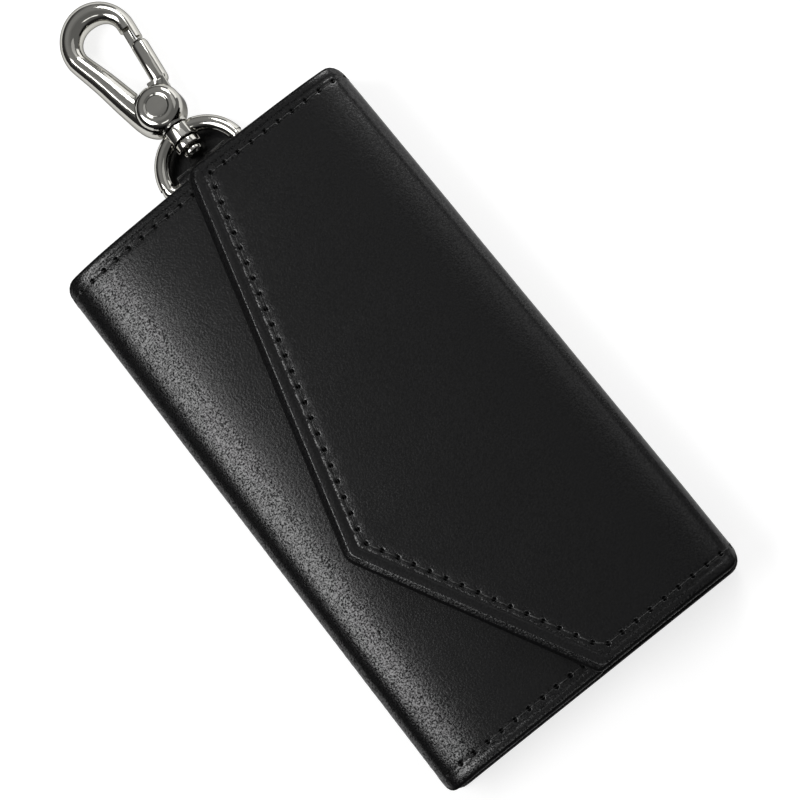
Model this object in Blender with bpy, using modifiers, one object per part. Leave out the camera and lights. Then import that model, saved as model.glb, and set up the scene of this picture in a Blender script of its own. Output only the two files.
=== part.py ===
"""Folding leather key case: card pockets, a row of six key hooks and a swivel snap clasp.

The case lies on its back. +X points to the fold of the outer flap, +Y to the clasp and +Z up.
The origin is the middle of the back cover's underside. Lengths are in metres, angles in degrees.
"""
import math

import bmesh
import bpy
from mathutils import Matrix, Vector

# Case
CASE_LENGTH = 0.118
CASE_WIDTH = 0.066
FOLD_CORNER_RADIUS = 0.003
FREE_CORNER_RADIUS = 0.002

# Leather
COVER_THICKNESS = 0.0012
LINING_THICKNESS = 0.0008
POCKET_THICKNESS = 0.0006
LAYER_GAP = 0.0003
LINING_INSET = 0.0006
KEY_SPACE = 0.0043
FLAP_GAP = 0.0014

# Folds: a tight bend that eases into the flat panel
LEFT_BEND_RADIUS = 0.0034
LEFT_EASE_RADIUS = 0.034
LEFT_EASE_ANGLE = 12.0
RIGHT_BEND_RADIUS = 0.0036
RIGHT_EASE_RADIUS = 0.030
RIGHT_EASE_ANGLE = 8.0
HINGE_GAP = 0.0003
BEND_STEPS = 7
EASE_STEPS = 4

# Inner flap
INNER_FLAP_REACH_SHARE = 0.55

# Outer flap: its pointed outline, as shares of the case's width and length
FLAP_TOP_CORNER_SHARE = 0.482
FLAP_POINT_WIDTH_SHARE = 0.174
FLAP_POINT_LENGTH_SHARE = 0.633
FLAP_BOTTOM_CORNER_SHARE = 0.523
FLAP_TOP_DROP = 0.0012
FLAP_TOP_RADIUS = 0.0025
FLAP_POINT_RADIUS = 0.004
FLAP_BOTTOM_RADIUS = 0.0012
OUTLINE_ARC_STEPS = 5

# Card pockets on the lining, open towards the key row
POCKET_SIDE_MARGIN = 0.005
REAR_POCKET_HEIGHT = 0.068
FRONT_POCKET_HEIGHT = 0.056
POCKET_END_MARGIN = 0.002
POCKET_CORNER_RADIUS = 0.002
POCKET_DIP_DEPTH = 0.004
POCKET_DIP_RADIUS = 0.012
POCKET_DIP_STEPS = 10

# Key row
KEY_HOOK_COUNT = 6
KEY_HOOK_PITCH_SHARE = 0.16
KEY_PLATE_SIDE_MARGIN = 0.00675
KEY_PLATE_HEIGHT = 0.0090
KEY_PLATE_THICKNESS = 0.0008
KEY_PLATE_CORNER_RADIUS = 0.002
KEY_PLATE_END_ROOM = 0.0085
BARREL_RADIUS = 0.0017
AXLE_RADIUS = 0.0007
AXLE_LIFT = 0.0018
AXLE_CLEARANCE = 0.0003
KEY_EYE_WIDTH = 0.0034
KEY_EYE_SIDE_CLEARANCE = 0.0003
KEY_WIRE_RADIUS = 0.00065
KEY_LOOP_RADIUS = 0.0027
KEY_NECK_LENGTH = 0.0042
KEY_LOOP_LENGTH = 0.0155
KEY_TIP_LENGTH = 0.0045
KEY_SHOULDER_STEPS = 4
KEY_LOOP_STEPS = 8
KEY_SPRING_THICKNESS = 0.00035
KEY_SPRING_WIDTH = 0.0011
KEY_SPRING_CLEARANCE = 0.0003
RIVET_HEAD_RADIUS = 0.0021
RIVET_HEAD_HEIGHT = 0.0008
RIVET_SHANK_RADIUS = 0.0010
RIVET_CLEARANCE = 0.0003
RIVET_SIDE_MARGIN = 0.0035

# Press stud under the flap
STUD_FROM_POINT = 0.0065
STUD_ABOVE_POINT = 0.0057
STUD_FLANGE_RADIUS = 0.0045
STUD_FLANGE_THICKNESS = 0.0004
STUD_KNOB_RADIUS = 0.0018
STUD_KNOB_HEIGHT = 0.00105
STUD_SHANK_RADIUS = 0.0015
STUD_BORE_RADIUS = 0.0009
STUD_BACK_RADIUS = 0.0042
STUD_BACK_THICKNESS = 0.00035
STUD_PIN_RADIUS = 0.0006
STUD_RECESS_DEPTH = 0.0005
STUD_CLEARANCE = 0.0002
SOCKET_RADIUS = 0.0050
SOCKET_THICKNESS = 0.0007
SOCKET_BORE_RADIUS = 0.0025
SOCKET_BARREL_RADIUS = 0.0031
SNAP_CAP_RADIUS = 0.0055
SNAP_CAP_THICKNESS = 0.0004

# Clasp ring and the leather tab that holds it
RING_OFFSET = 0.0021
RING_BEYOND_EDGE = 0.0015
RING_BOW_REACH = 0.0009
RING_RADIUS = 0.0083
RING_WIRE_RADIUS = 0.0015
RING_BAR_RADIUS = 0.00125
RING_CORNER_RADIUS = 0.0016
RING_BOW_STEPS = 16
RING_CORNER_STEPS = 3
COLLAR_SIDES = 8
COLLAR_RADIUS = 0.0029
COLLAR_INNER_REACH = 0.0071
COLLAR_OUTER_REACH = 0.0099
TAB_WIDTH = 0.0114
TAB_THICKNESS = 0.0009
TAB_LENGTH = 0.0080
TAB_LEG_GAP = 0.0003
TAB_OPEN_ANGLE = 50.0
TAB_LOOP_STEPS = 10
TAB_LEAF_THICKNESS = 0.00045
TAB_LEAF_INSET = 0.0007
TAB_LEAF_START = -0.0012
TAB_HEEL_END = 0.0010
TAB_HEEL_HEIGHT = 0.00175
TAB_HEEL_INSET = 0.0004
TAB_LEAF_STEPS = 12
BAR_CLEARANCE = 0.0002

# Clasp: places are measured from the ring's bar, along the swivel axis and across it
HUB_REACH = 0.0149
HUB_RADIUS = 0.0047
HUB_THICKNESS = 0.0070
HUB_RIM_THICKNESS = 0.0044
HUB_FACE_RADIUS = 0.0026
HUB_DOME_STEPS = 4
NECK_REACH = 0.0102
NECK_RADIUS = 0.0029
NECK_CLEARANCE = 0.0003
SLOT_WIDTH = 0.0036
SLOT_RADIUS = 0.0032
SLOT_SIDE_REACH = 0.0018
POST_RADIUS = 0.0013
POST_CLEARANCE = 0.0003
POST_HEAD_REACH = 0.0036
POST_HEAD_RADIUS = 0.0019
POST_HEAD_HEIGHT = 0.0014
WASHER_RADIUS = 0.0026
WASHER_THICKNESS = 0.0015
ROD_RADIUS = 0.0025
ROD_BASE_REACH = 0.0123
ROD_BASE_SIDE = 0.0006
ROD_HEEL_REACH = 0.0139
ROD_HEEL_SIDE = 0.0025
ROD_ROOT_REACH = 0.0191
ROD_ROOT_SIDE = 0.0040
ROD_WAIST_REACH = 0.0262
ROD_WAIST_SIDE = 0.0053
ROD_BASE_SHARE = 1.10
ROD_HEEL_SHARE = 1.24
ROD_ROOT_SHARE = 1.08
ROD_WAIST_SHARE = 0.96
ROD_SHOULDER_SHARE = 0.86
ROD_CREST_SHARE = 1.00
ROD_NOSE_SHARE = 0.70
HEAD_REACH = 0.03335
HEAD_SIDE = 0.0010
HEAD_RADIUS = 0.00578
HEAD_START_ANGLE = -12.0
HEAD_STEPS = 14
NOSE_LENGTH = 0.0042
GATE_TILT = 7.0
GATE_SIDE = 0.00292
GATE_WIDTH = 0.0034
GATE_THICKNESS = 0.0030
GATE_START = 0.0042
GATE_END = 0.0145
GATE_TONGUE_END = 0.0170
GATE_TONGUE_SHARE = 0.48
GATE_CLEARANCE = 0.0003
GATE_BEVEL = 0.0006
KNUCKLE_RADIUS = 0.0029
KNUCKLE_THICKNESS = 0.0015
LINK_SIDE = 0.0003
LINK_START = 0.0010
PIN_RADIUS = 0.0012
PIN_CLEARANCE = 0.0003
PIN_HEAD_RADIUS = 0.0021
PIN_HEAD_DEPTH = 0.0005
PIN_HEAD_SINK = 0.0001
GATE_SPRING_RADIUS = 0.0019
GATE_SPRING_WIRE_RADIUS = 0.00018
GATE_SPRING_PITCH = 0.00042
GATE_SPRING_TURNS = 1.75
GATE_SPRING_REACH = 0.0027
GATE_SPRING_TURN_POINTS = 12

# Making
CUT_OVERRUN = 0.001
MERGE_DISTANCE = 0.000002
SHORTEST_EDGE = 0.0002
ROUND_SIDES = 24
SMALL_ROUND_SIDES = 16
WIRE_RESOLUTION = 2
SMOOTH_ANGLE = 40.0

# Heights of the layers, from the table up
LINING_LOW = COVER_THICKNESS + LAYER_GAP
LINING_TOP = LINING_LOW + LINING_THICKNESS
REAR_POCKET_LOW = LINING_TOP + LAYER_GAP
FRONT_POCKET_LOW = REAR_POCKET_LOW + POCKET_THICKNESS + LAYER_GAP
KEY_SPACE_LOW = FRONT_POCKET_LOW + POCKET_THICKNESS
INNER_LINING_LOW = KEY_SPACE_LOW + KEY_SPACE
INNER_COVER_LOW = INNER_LINING_LOW + LINING_THICKNESS + LAYER_GAP
INNER_TOP = INNER_COVER_LOW + COVER_THICKNESS
OUTER_LINING_LOW = INNER_TOP + FLAP_GAP
OUTER_COVER_LOW = OUTER_LINING_LOW + LINING_THICKNESS + LAYER_GAP
OUTER_TOP = OUTER_COVER_LOW + COVER_THICKNESS

HALF_LENGTH = CASE_LENGTH / 2
HALF_WIDTH = CASE_WIDTH / 2
KEY_PLATE_LENGTH = CASE_WIDTH - 2 * KEY_PLATE_SIDE_MARGIN
KEY_HOOK_PITCH = KEY_PLATE_LENGTH * KEY_HOOK_PITCH_SHARE
LINING_SKIN = COVER_THICKNESS + LAYER_GAP
FLAP_POINT = Vector((
    -HALF_WIDTH + FLAP_POINT_WIDTH_SHARE * CASE_WIDTH,
    HALF_LENGTH - FLAP_POINT_LENGTH_SHARE * CASE_LENGTH))

LEATHER = ("black_leather", (0.012, 0.012, 0.013, 1.0), 0.0, 0.42)
LINING = ("black_lining", (0.016, 0.015, 0.015, 1.0), 0.0, 0.6)
GUNMETAL = ("gunmetal", (0.22, 0.21, 0.20, 1.0), 1.0, 0.14)
NICKEL = ("nickel", (0.55, 0.54, 0.52, 1.0), 1.0, 0.22)
SPRING_STEEL = ("spring_steel", (0.40, 0.40, 0.41, 1.0), 1.0, 0.3)


def clear_scene():
    for thing in list(bpy.data.objects):
        bpy.data.objects.remove(thing, do_unlink=True)


def make_collection(name):
    collection = bpy.data.collections.new(name)
    bpy.context.scene.collection.children.link(collection)
    return collection


def make_material(name, colour, metallic, roughness):
    material = bpy.data.materials.new(name)
    material.use_nodes = True
    shader = material.node_tree.nodes["Principled BSDF"]
    shader.inputs["Base Color"].default_value = colour
    shader.inputs["Metallic"].default_value = metallic
    shader.inputs["Roughness"].default_value = roughness
    material.diffuse_color = colour
    return material


clear_scene()
PARTS = make_collection("key_case")
CUTTERS = make_collection("cutters")
MATERIALS = {
    finish[0]: make_material(*finish)
    for finish in (LEATHER, LINING, GUNMETAL, NICKEL, SPRING_STEEL)
}


def add_object(name, data, finish=None):
    """A named part with its own copy of the finish, or a cutter where no finish is given."""
    thing = bpy.data.objects.new(name, data)
    if finish is None:
        CUTTERS.objects.link(thing)
        thing.hide_render = True
        thing.display_type = "WIRE"
        return thing
    PARTS.objects.link(thing)
    material = MATERIALS[finish[0]].copy()
    material.name = name + "_finish"
    data.materials.clear()
    data.materials.append(material)
    return thing


def mesh_from(name, build):
    """A mesh that build fills in."""
    form = bmesh.new()
    build(form)
    mesh = bpy.data.meshes.new(name)
    form.to_mesh(mesh)
    form.free()
    return mesh


def shade_round(mesh):
    mesh.shade_smooth()
    mesh.set_sharp_from_angle(angle=math.radians(SMOOTH_ANGLE))


def box(name, low, high, finish=None, turn=None):
    """A box between two corners, then turned about turn[0] by turn[1] degrees round Z."""
    centre = (Vector(low) + Vector(high)) / 2
    sizes = Vector(high) - Vector(low)

    def build(form):
        bmesh.ops.create_cube(form, size=1.0)
        bmesh.ops.scale(form, vec=sizes, verts=form.verts)
        bmesh.ops.translate(form, vec=centre, verts=form.verts)
        if turn:
            spin = Matrix.Rotation(math.radians(turn[1]), 3, "Z")
            bmesh.ops.rotate(form, cent=turn[0], matrix=spin, verts=form.verts)

    return add_object(name, mesh_from(name, build), finish)


AXIS_TURNS = {
    "X": Matrix.Rotation(math.radians(90), 4, "Y"),
    "Y": Matrix.Rotation(math.radians(-90), 4, "X"),
    "Z": Matrix.Identity(4),
}


def cylinder(name, start, length, radius, axis, finish=None, sides=ROUND_SIDES):
    """A round bar from start, along +axis."""
    turn = Matrix.Translation(start) @ AXIS_TURNS[axis]

    def build(form):
        lift = Matrix.Translation((0, 0, length / 2))
        bmesh.ops.create_cone(
            form, cap_ends=True, segments=sides,
            radius1=radius, radius2=radius, depth=length, matrix=turn @ lift,
        )

    mesh = mesh_from(name, build)
    shade_round(mesh)
    return add_object(name, mesh, finish)


def turned(name, profile, centre, axis, finish=None, sides=ROUND_SIDES):
    """A turned piece. The profile is (radius, height) pairs down its outer side, top to bottom."""
    def build(form):
        points = [form.verts.new((radius, 0, height)) for radius, height in profile]
        closed = profile[0][0] > 0
        pairs = list(zip(points, points[1:]))
        if closed:
            pairs.append((points[-1], points[0]))
        for first, second in pairs:
            form.edges.new((first, second))

    thing = add_object(name, mesh_from(name, build), finish)
    thing.location = centre
    thing.rotation_euler = AXIS_TURNS[axis].to_euler()
    screw = thing.modifiers.new("turn", "SCREW")
    screw.steps = sides
    screw.render_steps = sides
    screw.use_merge_vertices = True
    screw.merge_threshold = MERGE_DISTANCE
    screw.use_smooth_shade = False
    return thing


def plate(name, outline, low, thickness, finish=None):
    """A flat piece with the given outline, from low up."""
    curve = bpy.data.curves.new(name, "CURVE")
    curve.dimensions = "2D"
    curve.fill_mode = "BOTH"
    curve.extrude = thickness / 2
    spline = curve.splines.new("POLY")
    spline.points.add(len(outline) - 1)
    for point, (x, y) in zip(spline.points, outline):
        point.co = (x, y, 0, 1)
    spline.use_cyclic_u = True
    thing = add_object(name, curve)
    thing.location = (0, 0, low + thickness / 2)
    return as_mesh(thing, finish)


def tube(name, points, radius, finish=None, shares=None, closed=False, resolution=WIRE_RESOLUTION):
    """A round wire through points. shares are its radius along the way, as shares of radius."""
    curve = bpy.data.curves.new(name, "CURVE")
    curve.dimensions = "3D"
    curve.bevel_depth = radius
    curve.bevel_resolution = resolution
    curve.render_resolution_u = 0
    curve.use_fill_caps = not closed
    spline = curve.splines.new("POLY")
    spline.points.add(len(points) - 1)
    for index, (point, place) in enumerate(zip(spline.points, points)):
        point.co = (*place, 1)
        point.radius = shares[index] if shares else 1
    spline.use_cyclic_u = closed
    return as_mesh(add_object(name, curve), finish)


def as_mesh(thing, finish):
    """The curve object made a mesh, with its caps welded on."""
    bpy.context.view_layer.update()
    evaluated = thing.evaluated_get(bpy.context.evaluated_depsgraph_get())
    mesh = bpy.data.meshes.new_from_object(evaluated)
    form = bmesh.new()
    form.from_mesh(mesh)
    bmesh.ops.remove_doubles(form, verts=form.verts, dist=MERGE_DISTANCE)
    bmesh.ops.recalc_face_normals(form, faces=form.faces)
    form.to_mesh(mesh)
    form.free()
    name, place = thing.name, thing.matrix_world.copy()
    bpy.data.objects.remove(thing, do_unlink=True)
    shade_round(mesh)
    result = add_object(name, mesh, finish)
    result.matrix_world = place
    return result


def combine(thing, other, operation):
    modifier = thing.modifiers.new(other.name, "BOOLEAN")
    modifier.operation = operation
    modifier.solver = "EXACT"
    modifier.object = other


def cut(thing, *cutters):
    for cutter in cutters:
        combine(thing, cutter, "DIFFERENCE")


def join(thing, *pieces):
    for piece in pieces:
        combine(thing, piece, "UNION")


def bevel(thing, width, segments=1, angle=SMOOTH_ANGLE):
    modifier = thing.modifiers.new("rounded_edges", "BEVEL")
    modifier.width = width
    modifier.segments = segments
    modifier.limit_method = "ANGLE"
    modifier.angle_limit = math.radians(angle)


def axis_empty(name, place):
    """An empty on a joint's axis, which carries the pieces that move about it."""
    empty = bpy.data.objects.new(name, None)
    empty.empty_display_size = HUB_RADIUS
    empty.location = place
    PARTS.objects.link(empty)
    return empty


def carry(empty, *pieces):
    for piece in pieces:
        piece.parent = empty
        piece.location = piece.location - empty.location


def rounded_outline(corners, radii, steps=OUTLINE_ARC_STEPS):
    """The outline with an arc of its radius at each corner."""
    outline = []
    count = len(corners)
    for index, (corner, radius) in enumerate(zip(corners, radii)):
        here = Vector(corner)
        back = (Vector(corners[index - 1]) - here).normalized()
        ahead = (Vector(corners[(index + 1) % count]) - here).normalized()
        half = back.angle(ahead) / 2
        middle = here + (back + ahead).normalized() * (radius / math.sin(half))
        start = here + back * (radius / math.tan(half)) - middle
        swing = math.pi - 2 * half
        turn = 1 if back.x * ahead.y - back.y * ahead.x < 0 else -1
        for step in range(steps + 1):
            angle = turn * swing * step / steps
            spun = Matrix.Rotation(angle, 2) @ start
            outline.append(tuple(middle + spun))
    return outline


def inset_outline(corners, inset):
    """The corner points of a counter-clockwise outline, moved inwards by inset."""
    moved = []
    count = len(corners)
    for index, corner in enumerate(corners):
        here = Vector(corner)
        before = (here - Vector(corners[index - 1])).normalized()
        after = (Vector(corners[(index + 1) % count]) - here).normalized()
        normals = [Vector((-way.y, way.x)) for way in (before, after)]
        middle = (normals[0] + normals[1]).normalized()
        moved.append(tuple(here + middle * (inset / middle.dot(normals[0]))))
    return moved


def span_at(outline, x):
    """The lowest and highest y of the outline at x."""
    found = []
    for (x0, y0), (x1, y1) in zip(outline, outline[1:] + outline[:1]):
        if min(x0, x1) - MERGE_DISTANCE <= x <= max(x0, x1) + MERGE_DISTANCE:
            if abs(x1 - x0) < MERGE_DISTANCE:
                found += [y0, y1]
            else:
                share = min(max((x - x0) / (x1 - x0), 0), 1)
                found.append(y0 + (y1 - y0) * share)
    return min(found), max(found)


def walk(start, heading, moves, inset):
    """Points along a fold's section, moved inwards (to the left) by inset.

    Each move is ("line", length) or ("arc", radius, angle, steps), turning left.
    """
    place = Vector(start)
    angle = math.radians(heading)
    points = []

    def note():
        left = Vector((-math.sin(angle), math.cos(angle)))
        points.append(tuple(place + left * inset))

    note()
    for move in moves:
        if move[0] == "line":
            place = place + Vector((math.cos(angle), math.sin(angle))) * move[1]
            note()
        else:
            radius, turn, steps = move[1], math.radians(move[2]), move[3]
            centre = place + Vector((-math.sin(angle), math.cos(angle))) * radius
            for _ in range(steps):
                angle += turn / steps
                place = centre - Vector((-math.sin(angle), math.cos(angle))) * radius
                note()
    return points


def sheet(name, rows, thickness, finish, mirrored=False):
    """A bent sheet. Each row is (x, z, y low, y high) on its outer skin, in walking order."""
    side = -1 if mirrored else 1

    def build(form):
        lines = []
        for x, z, low, high in rows:
            lines.append([form.verts.new((side * x, y, z)) for y in (low, high)])
        for before, after in zip(lines, lines[1:]):
            corners = [before[0], before[1], after[1], after[0]]
            form.faces.new(corners[::-1] if mirrored else corners)

    thing = add_object(name, mesh_from(name, build), finish)
    shell = thing.modifiers.new("leather", "SOLIDIFY")
    shell.thickness = thickness
    shell.offset = -1
    shell.use_even_offset = True
    return thing


class Fold:
    """One side of the case: the section of the leather round its fold, drawn towards +X."""

    def __init__(self, bend_radius, ease_radius, ease_angle, top):
        ease = math.radians(ease_angle)
        self.bend_radius = bend_radius
        self.ease_radius = ease_radius
        self.ease_angle = ease_angle
        self.top = top
        self.rise = bend_radius * math.cos(ease) + ease_radius * (1 - math.cos(ease))
        self.run = bend_radius * (1 - math.sin(ease)) + ease_radius * math.sin(ease)
        self.low_hinge = self.rise + HINGE_GAP / 2
        self.high_hinge = top - self.rise - HINGE_GAP / 2

    def strip(self, inset):
        """The upright strip between the two hinge lines."""
        height = self.top - 2 * self.rise - 2 * HINGE_GAP
        return walk((HALF_WIDTH, self.rise + HINGE_GAP), 90, [("line", height)], inset)

    def shoulder(self, inset):
        """From the upper hinge line round to the flat of the flap."""
        moves = [
            ("arc", self.bend_radius, 90 - self.ease_angle, BEND_STEPS),
            ("arc", self.ease_radius, self.ease_angle, EASE_STEPS),
        ]
        return walk((HALF_WIDTH, self.top - self.rise), 90, moves, inset)


LEFT_FOLD = Fold(LEFT_BEND_RADIUS, LEFT_EASE_RADIUS, LEFT_EASE_ANGLE, INNER_TOP)
RIGHT_FOLD = Fold(RIGHT_BEND_RADIUS, RIGHT_EASE_RADIUS, RIGHT_EASE_ANGLE, OUTER_TOP)


def case_corners(margin):
    """The plan of the closed case, with its ends drawn in by margin."""
    end = HALF_LENGTH - margin
    return [
        (-HALF_WIDTH, -end), (HALF_WIDTH, -end),
        (HALF_WIDTH, end), (-HALF_WIDTH, end),
    ]


def case_outline(margin):
    return rounded_outline(case_corners(margin), [FOLD_CORNER_RADIUS] * 4)


def rows_within(points, outline):
    return [(x, z, *span_at(outline, x)) for x, z in points]


def back_sheet(name, inset, margin, thickness, finish):
    """The back panel with both its lower bends."""
    flat = CASE_WIDTH - LEFT_FOLD.rise - RIGHT_FOLD.rise
    moves = [
        ("arc", LEFT_FOLD.rise, 90, BEND_STEPS),
        ("line", flat),
        ("arc", RIGHT_FOLD.rise, 90, BEND_STEPS),
    ]
    points = walk((-HALF_WIDTH, LEFT_FOLD.rise), -90, moves, inset)
    return sheet(name, rows_within(points, case_outline(margin)), thickness, finish)


def fold_sheet(name, fold, inset, margin, thickness, finish, mirrored):
    rows = rows_within(fold.strip(inset), case_outline(margin))
    return sheet(name, rows, thickness, finish, mirrored)


def flap_sheet(name, fold, outline, inset, thickness, finish, mirrored):
    """A flap: its shoulder at the fold, then the flat out to its outline's free edge."""
    points = fold.shoulder(inset)
    flat_start = points[-1][0]
    level = fold.top - inset
    xs = sorted({round(x, 7) for x, _ in outline if x < flat_start - MERGE_DISTANCE}, reverse=True)
    rows = rows_within(points, outline) + [(x, level, *span_at(outline, x)) for x in xs]
    if rows[-1][3] - rows[-1][2] < SHORTEST_EDGE:
        rows.pop()
    return sheet(name, rows, thickness, finish, mirrored)


def inner_flap_outline(margin):
    """Drawn towards +X like every flap; the left one is mirrored."""
    free = HALF_WIDTH - INNER_FLAP_REACH_SHARE * CASE_WIDTH + margin
    end = HALF_LENGTH - margin
    corners = [(free, -end), (HALF_WIDTH, -end), (HALF_WIDTH, end), (free, end)]
    free_radius, fold_radius = FREE_CORNER_RADIUS, FOLD_CORNER_RADIUS
    return rounded_outline(corners, [free_radius, fold_radius, fold_radius, free_radius])


def outer_flap_outline(margin):
    """The pointed flap: two slanting edges that meet near the far fold."""
    corners = [
        (HALF_WIDTH, -HALF_LENGTH),
        (HALF_WIDTH, HALF_LENGTH - FLAP_TOP_DROP),
        (-HALF_WIDTH + FLAP_TOP_CORNER_SHARE * CASE_WIDTH, HALF_LENGTH),
        tuple(FLAP_POINT),
        (-HALF_WIDTH + FLAP_BOTTOM_CORNER_SHARE * CASE_WIDTH, -HALF_LENGTH),
    ]
    if margin:
        fold_x = HALF_WIDTH
        corners = inset_outline(corners, margin)
        corners[0] = (fold_x, corners[0][1])
        corners[1] = (fold_x, corners[1][1])
    radii = [
        FOLD_CORNER_RADIUS, FOLD_CORNER_RADIUS - FLAP_TOP_DROP,
        FLAP_TOP_RADIUS, FLAP_POINT_RADIUS, FLAP_BOTTOM_RADIUS,
    ]
    return rounded_outline(corners, radii)


def make_leather():
    back_cover = back_sheet("back_cover", 0, 0, COVER_THICKNESS, LEATHER)
    back_lining = back_sheet("back_lining", LINING_SKIN, LINING_INSET, LINING_THICKNESS, LINING)
    pieces = {"back_cover": back_cover, "back_lining": back_lining}
    for side, fold, mirrored in (("left", LEFT_FOLD, True), ("right", RIGHT_FOLD, False)):
        cover, lining = side + "_fold_cover", side + "_fold_lining"
        pieces[cover] = fold_sheet(cover, fold, 0, 0, COVER_THICKNESS, LEATHER, mirrored)
        pieces[lining] = fold_sheet(
            lining, fold, LINING_SKIN, LINING_INSET, LINING_THICKNESS, LINING, mirrored)
    flaps = (
        ("inner_flap", LEFT_FOLD, inner_flap_outline, True),
        ("outer_flap", RIGHT_FOLD, outer_flap_outline, False),
    )
    for flap, fold, outline, mirrored in flaps:
        cover, lining = flap + "_cover", flap + "_lining"
        pieces[cover] = flap_sheet(cover, fold, outline(0), 0, COVER_THICKNESS, LEATHER, mirrored)
        pieces[lining] = flap_sheet(
            lining, fold, outline(LINING_INSET), LINING_SKIN, LINING_THICKNESS, LINING, mirrored)
    return pieces


def pocket_outline(height):
    """A pocket leaf whose mouth dips in the middle, for a thumb."""
    half = HALF_WIDTH - POCKET_SIDE_MARGIN
    low = -HALF_LENGTH + POCKET_END_MARGIN
    top = low + height
    radius = POCKET_CORNER_RADIUS
    corners = [(-half, low), (half, low), (half, top), (-half, top)]
    outline = rounded_outline(corners, [radius] * 4)
    dip = []
    for step in range(POCKET_DIP_STEPS + 1):
        share = step / POCKET_DIP_STEPS
        x = POCKET_DIP_RADIUS * (1 - 2 * share)
        depth = POCKET_DIP_DEPTH * (1 - math.cos(2 * math.pi * share)) / 2
        dip.append((x, top - depth))
    corner_points = OUTLINE_ARC_STEPS + 1
    return outline[:3 * corner_points] + dip + outline[3 * corner_points:]


def make_pockets():
    plate("rear_card_pocket", pocket_outline(REAR_POCKET_HEIGHT),
          REAR_POCKET_LOW, POCKET_THICKNESS, LINING)
    plate("front_card_pocket", pocket_outline(FRONT_POCKET_HEIGHT),
          FRONT_POCKET_LOW, POCKET_THICKNESS, LINING)


def key_hook_wire(x, axle):
    """The hook's wire: a neck from the eye, one long side, the round end and the tip."""
    bend = KEY_LOOP_RADIUS
    neck_end = axle.y - KEY_NECK_LENGTH
    loop_centre = axle.y - KEY_LOOP_LENGTH
    points = [Vector((x, axle.y - BARREL_RADIUS + KEY_WIRE_RADIUS, axle.z))]
    for step in range(KEY_SHOULDER_STEPS + 1):
        share = step / KEY_SHOULDER_STEPS
        ease = (1 - math.cos(math.pi * share)) / 2
        points.append(Vector((x - bend * ease, neck_end - bend * share, axle.z)))
    for step in range(KEY_LOOP_STEPS + 1):
        angle = math.pi * (1 + step / KEY_LOOP_STEPS)
        points.append(Vector((
            x + bend * math.cos(angle), loop_centre + bend * math.sin(angle), axle.z)))
    points.append(Vector((x + bend, loop_centre + KEY_TIP_LENGTH, axle.z)))
    return points


def make_key_row(back_lining):
    plate_low = LINING_TOP + LAYER_GAP
    plate_top = plate_low + KEY_PLATE_THICKNESS
    plate_end = HALF_LENGTH - KEY_PLATE_END_ROOM
    barrel_y = plate_end - KEY_PLATE_HEIGHT
    axle = Vector((0, barrel_y, plate_low + AXLE_LIFT))
    half = KEY_PLATE_LENGTH / 2
    corner = KEY_PLATE_CORNER_RADIUS
    corners = [(-half, barrel_y), (half, barrel_y), (half, plate_end), (-half, plate_end)]
    small = KEY_SPRING_THICKNESS
    outline = rounded_outline(corners, [small, small, corner, corner])
    key_plate = plate("key_plate", outline, plate_low, KEY_PLATE_THICKNESS, NICKEL)
    barrel = cylinder("plate_barrel", (-half, axle.y, axle.z), KEY_PLATE_LENGTH, BARREL_RADIUS, "X")
    join(key_plate, barrel)

    axle_hole = AXLE_RADIUS + AXLE_CLEARANCE
    bore = cylinder("axle_bore", (-half - CUT_OVERRUN, axle.y, axle.z),
                    KEY_PLATE_LENGTH + 2 * CUT_OVERRUN, axle_hole, "X", sides=SMALL_ROUND_SIDES)
    cut(key_plate, bore)
    cylinder("hook_axle", (-half, axle.y, axle.z), KEY_PLATE_LENGTH, AXLE_RADIUS, "X",
             SPRING_STEEL, sides=SMALL_ROUND_SIDES)

    first = -KEY_HOOK_PITCH * (KEY_HOOK_COUNT - 1) / 2
    room = KEY_EYE_WIDTH / 2 + KEY_EYE_SIDE_CLEARANCE
    reach = BARREL_RADIUS + KEY_EYE_SIDE_CLEARANCE
    for index in range(KEY_HOOK_COUNT):
        x = first + index * KEY_HOOK_PITCH
        number = str(index + 1)
        notch = box("notch_" + number,
                    (x - room, axle.y - reach - CUT_OVERRUN, plate_low - CUT_OVERRUN),
                    (x + room, axle.y + reach, axle.z + reach + CUT_OVERRUN))
        cut(key_plate, notch)
        hook = cylinder("key_hook_" + number, (x - KEY_EYE_WIDTH / 2, axle.y, axle.z),
                        KEY_EYE_WIDTH, BARREL_RADIUS, "X", NICKEL, sides=SMALL_ROUND_SIDES)
        wire = tube("key_wire_" + number, key_hook_wire(x, axle), KEY_WIRE_RADIUS)
        join(hook, wire)
        cut(hook, bore)
        spring = make_key_spring(number, x, axle)
        carry(axis_empty("key_hook_axis_" + number, (x, axle.y, axle.z)), hook, spring)

    for side, name in ((-1, "plate_rivet_left"), (1, "plate_rivet_right")):
        place = Vector((side * (half - RIVET_SIDE_MARGIN), (barrel_y + plate_end + reach) / 2, 0))
        make_rivet(name, place, plate_top, key_plate, back_lining)


def make_key_spring(number, x, axle):
    """The leaf that closes the hook's mouth, from its neck down to inside its tip."""
    inside = x + KEY_LOOP_RADIUS - KEY_WIRE_RADIUS - KEY_SPRING_CLEARANCE
    top = Vector((x + KEY_WIRE_RADIUS + KEY_SPRING_CLEARANCE, axle.y - KEY_NECK_LENGTH))
    top.y += KEY_WIRE_RADIUS
    end = Vector((inside, axle.y - KEY_LOOP_LENGTH + KEY_TIP_LENGTH / 2))
    down = (end - top).normalized()
    across = Vector((-down.y, down.x))
    if across.x > 0:
        across = -across
    wide = across * KEY_SPRING_THICKNESS
    outline = [tuple(top), tuple(top + wide), tuple(end + wide), tuple(end)]
    return plate("key_hook_spring_" + number, outline,
                 axle.z - KEY_SPRING_WIDTH / 2, KEY_SPRING_WIDTH, SPRING_STEEL)


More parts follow.
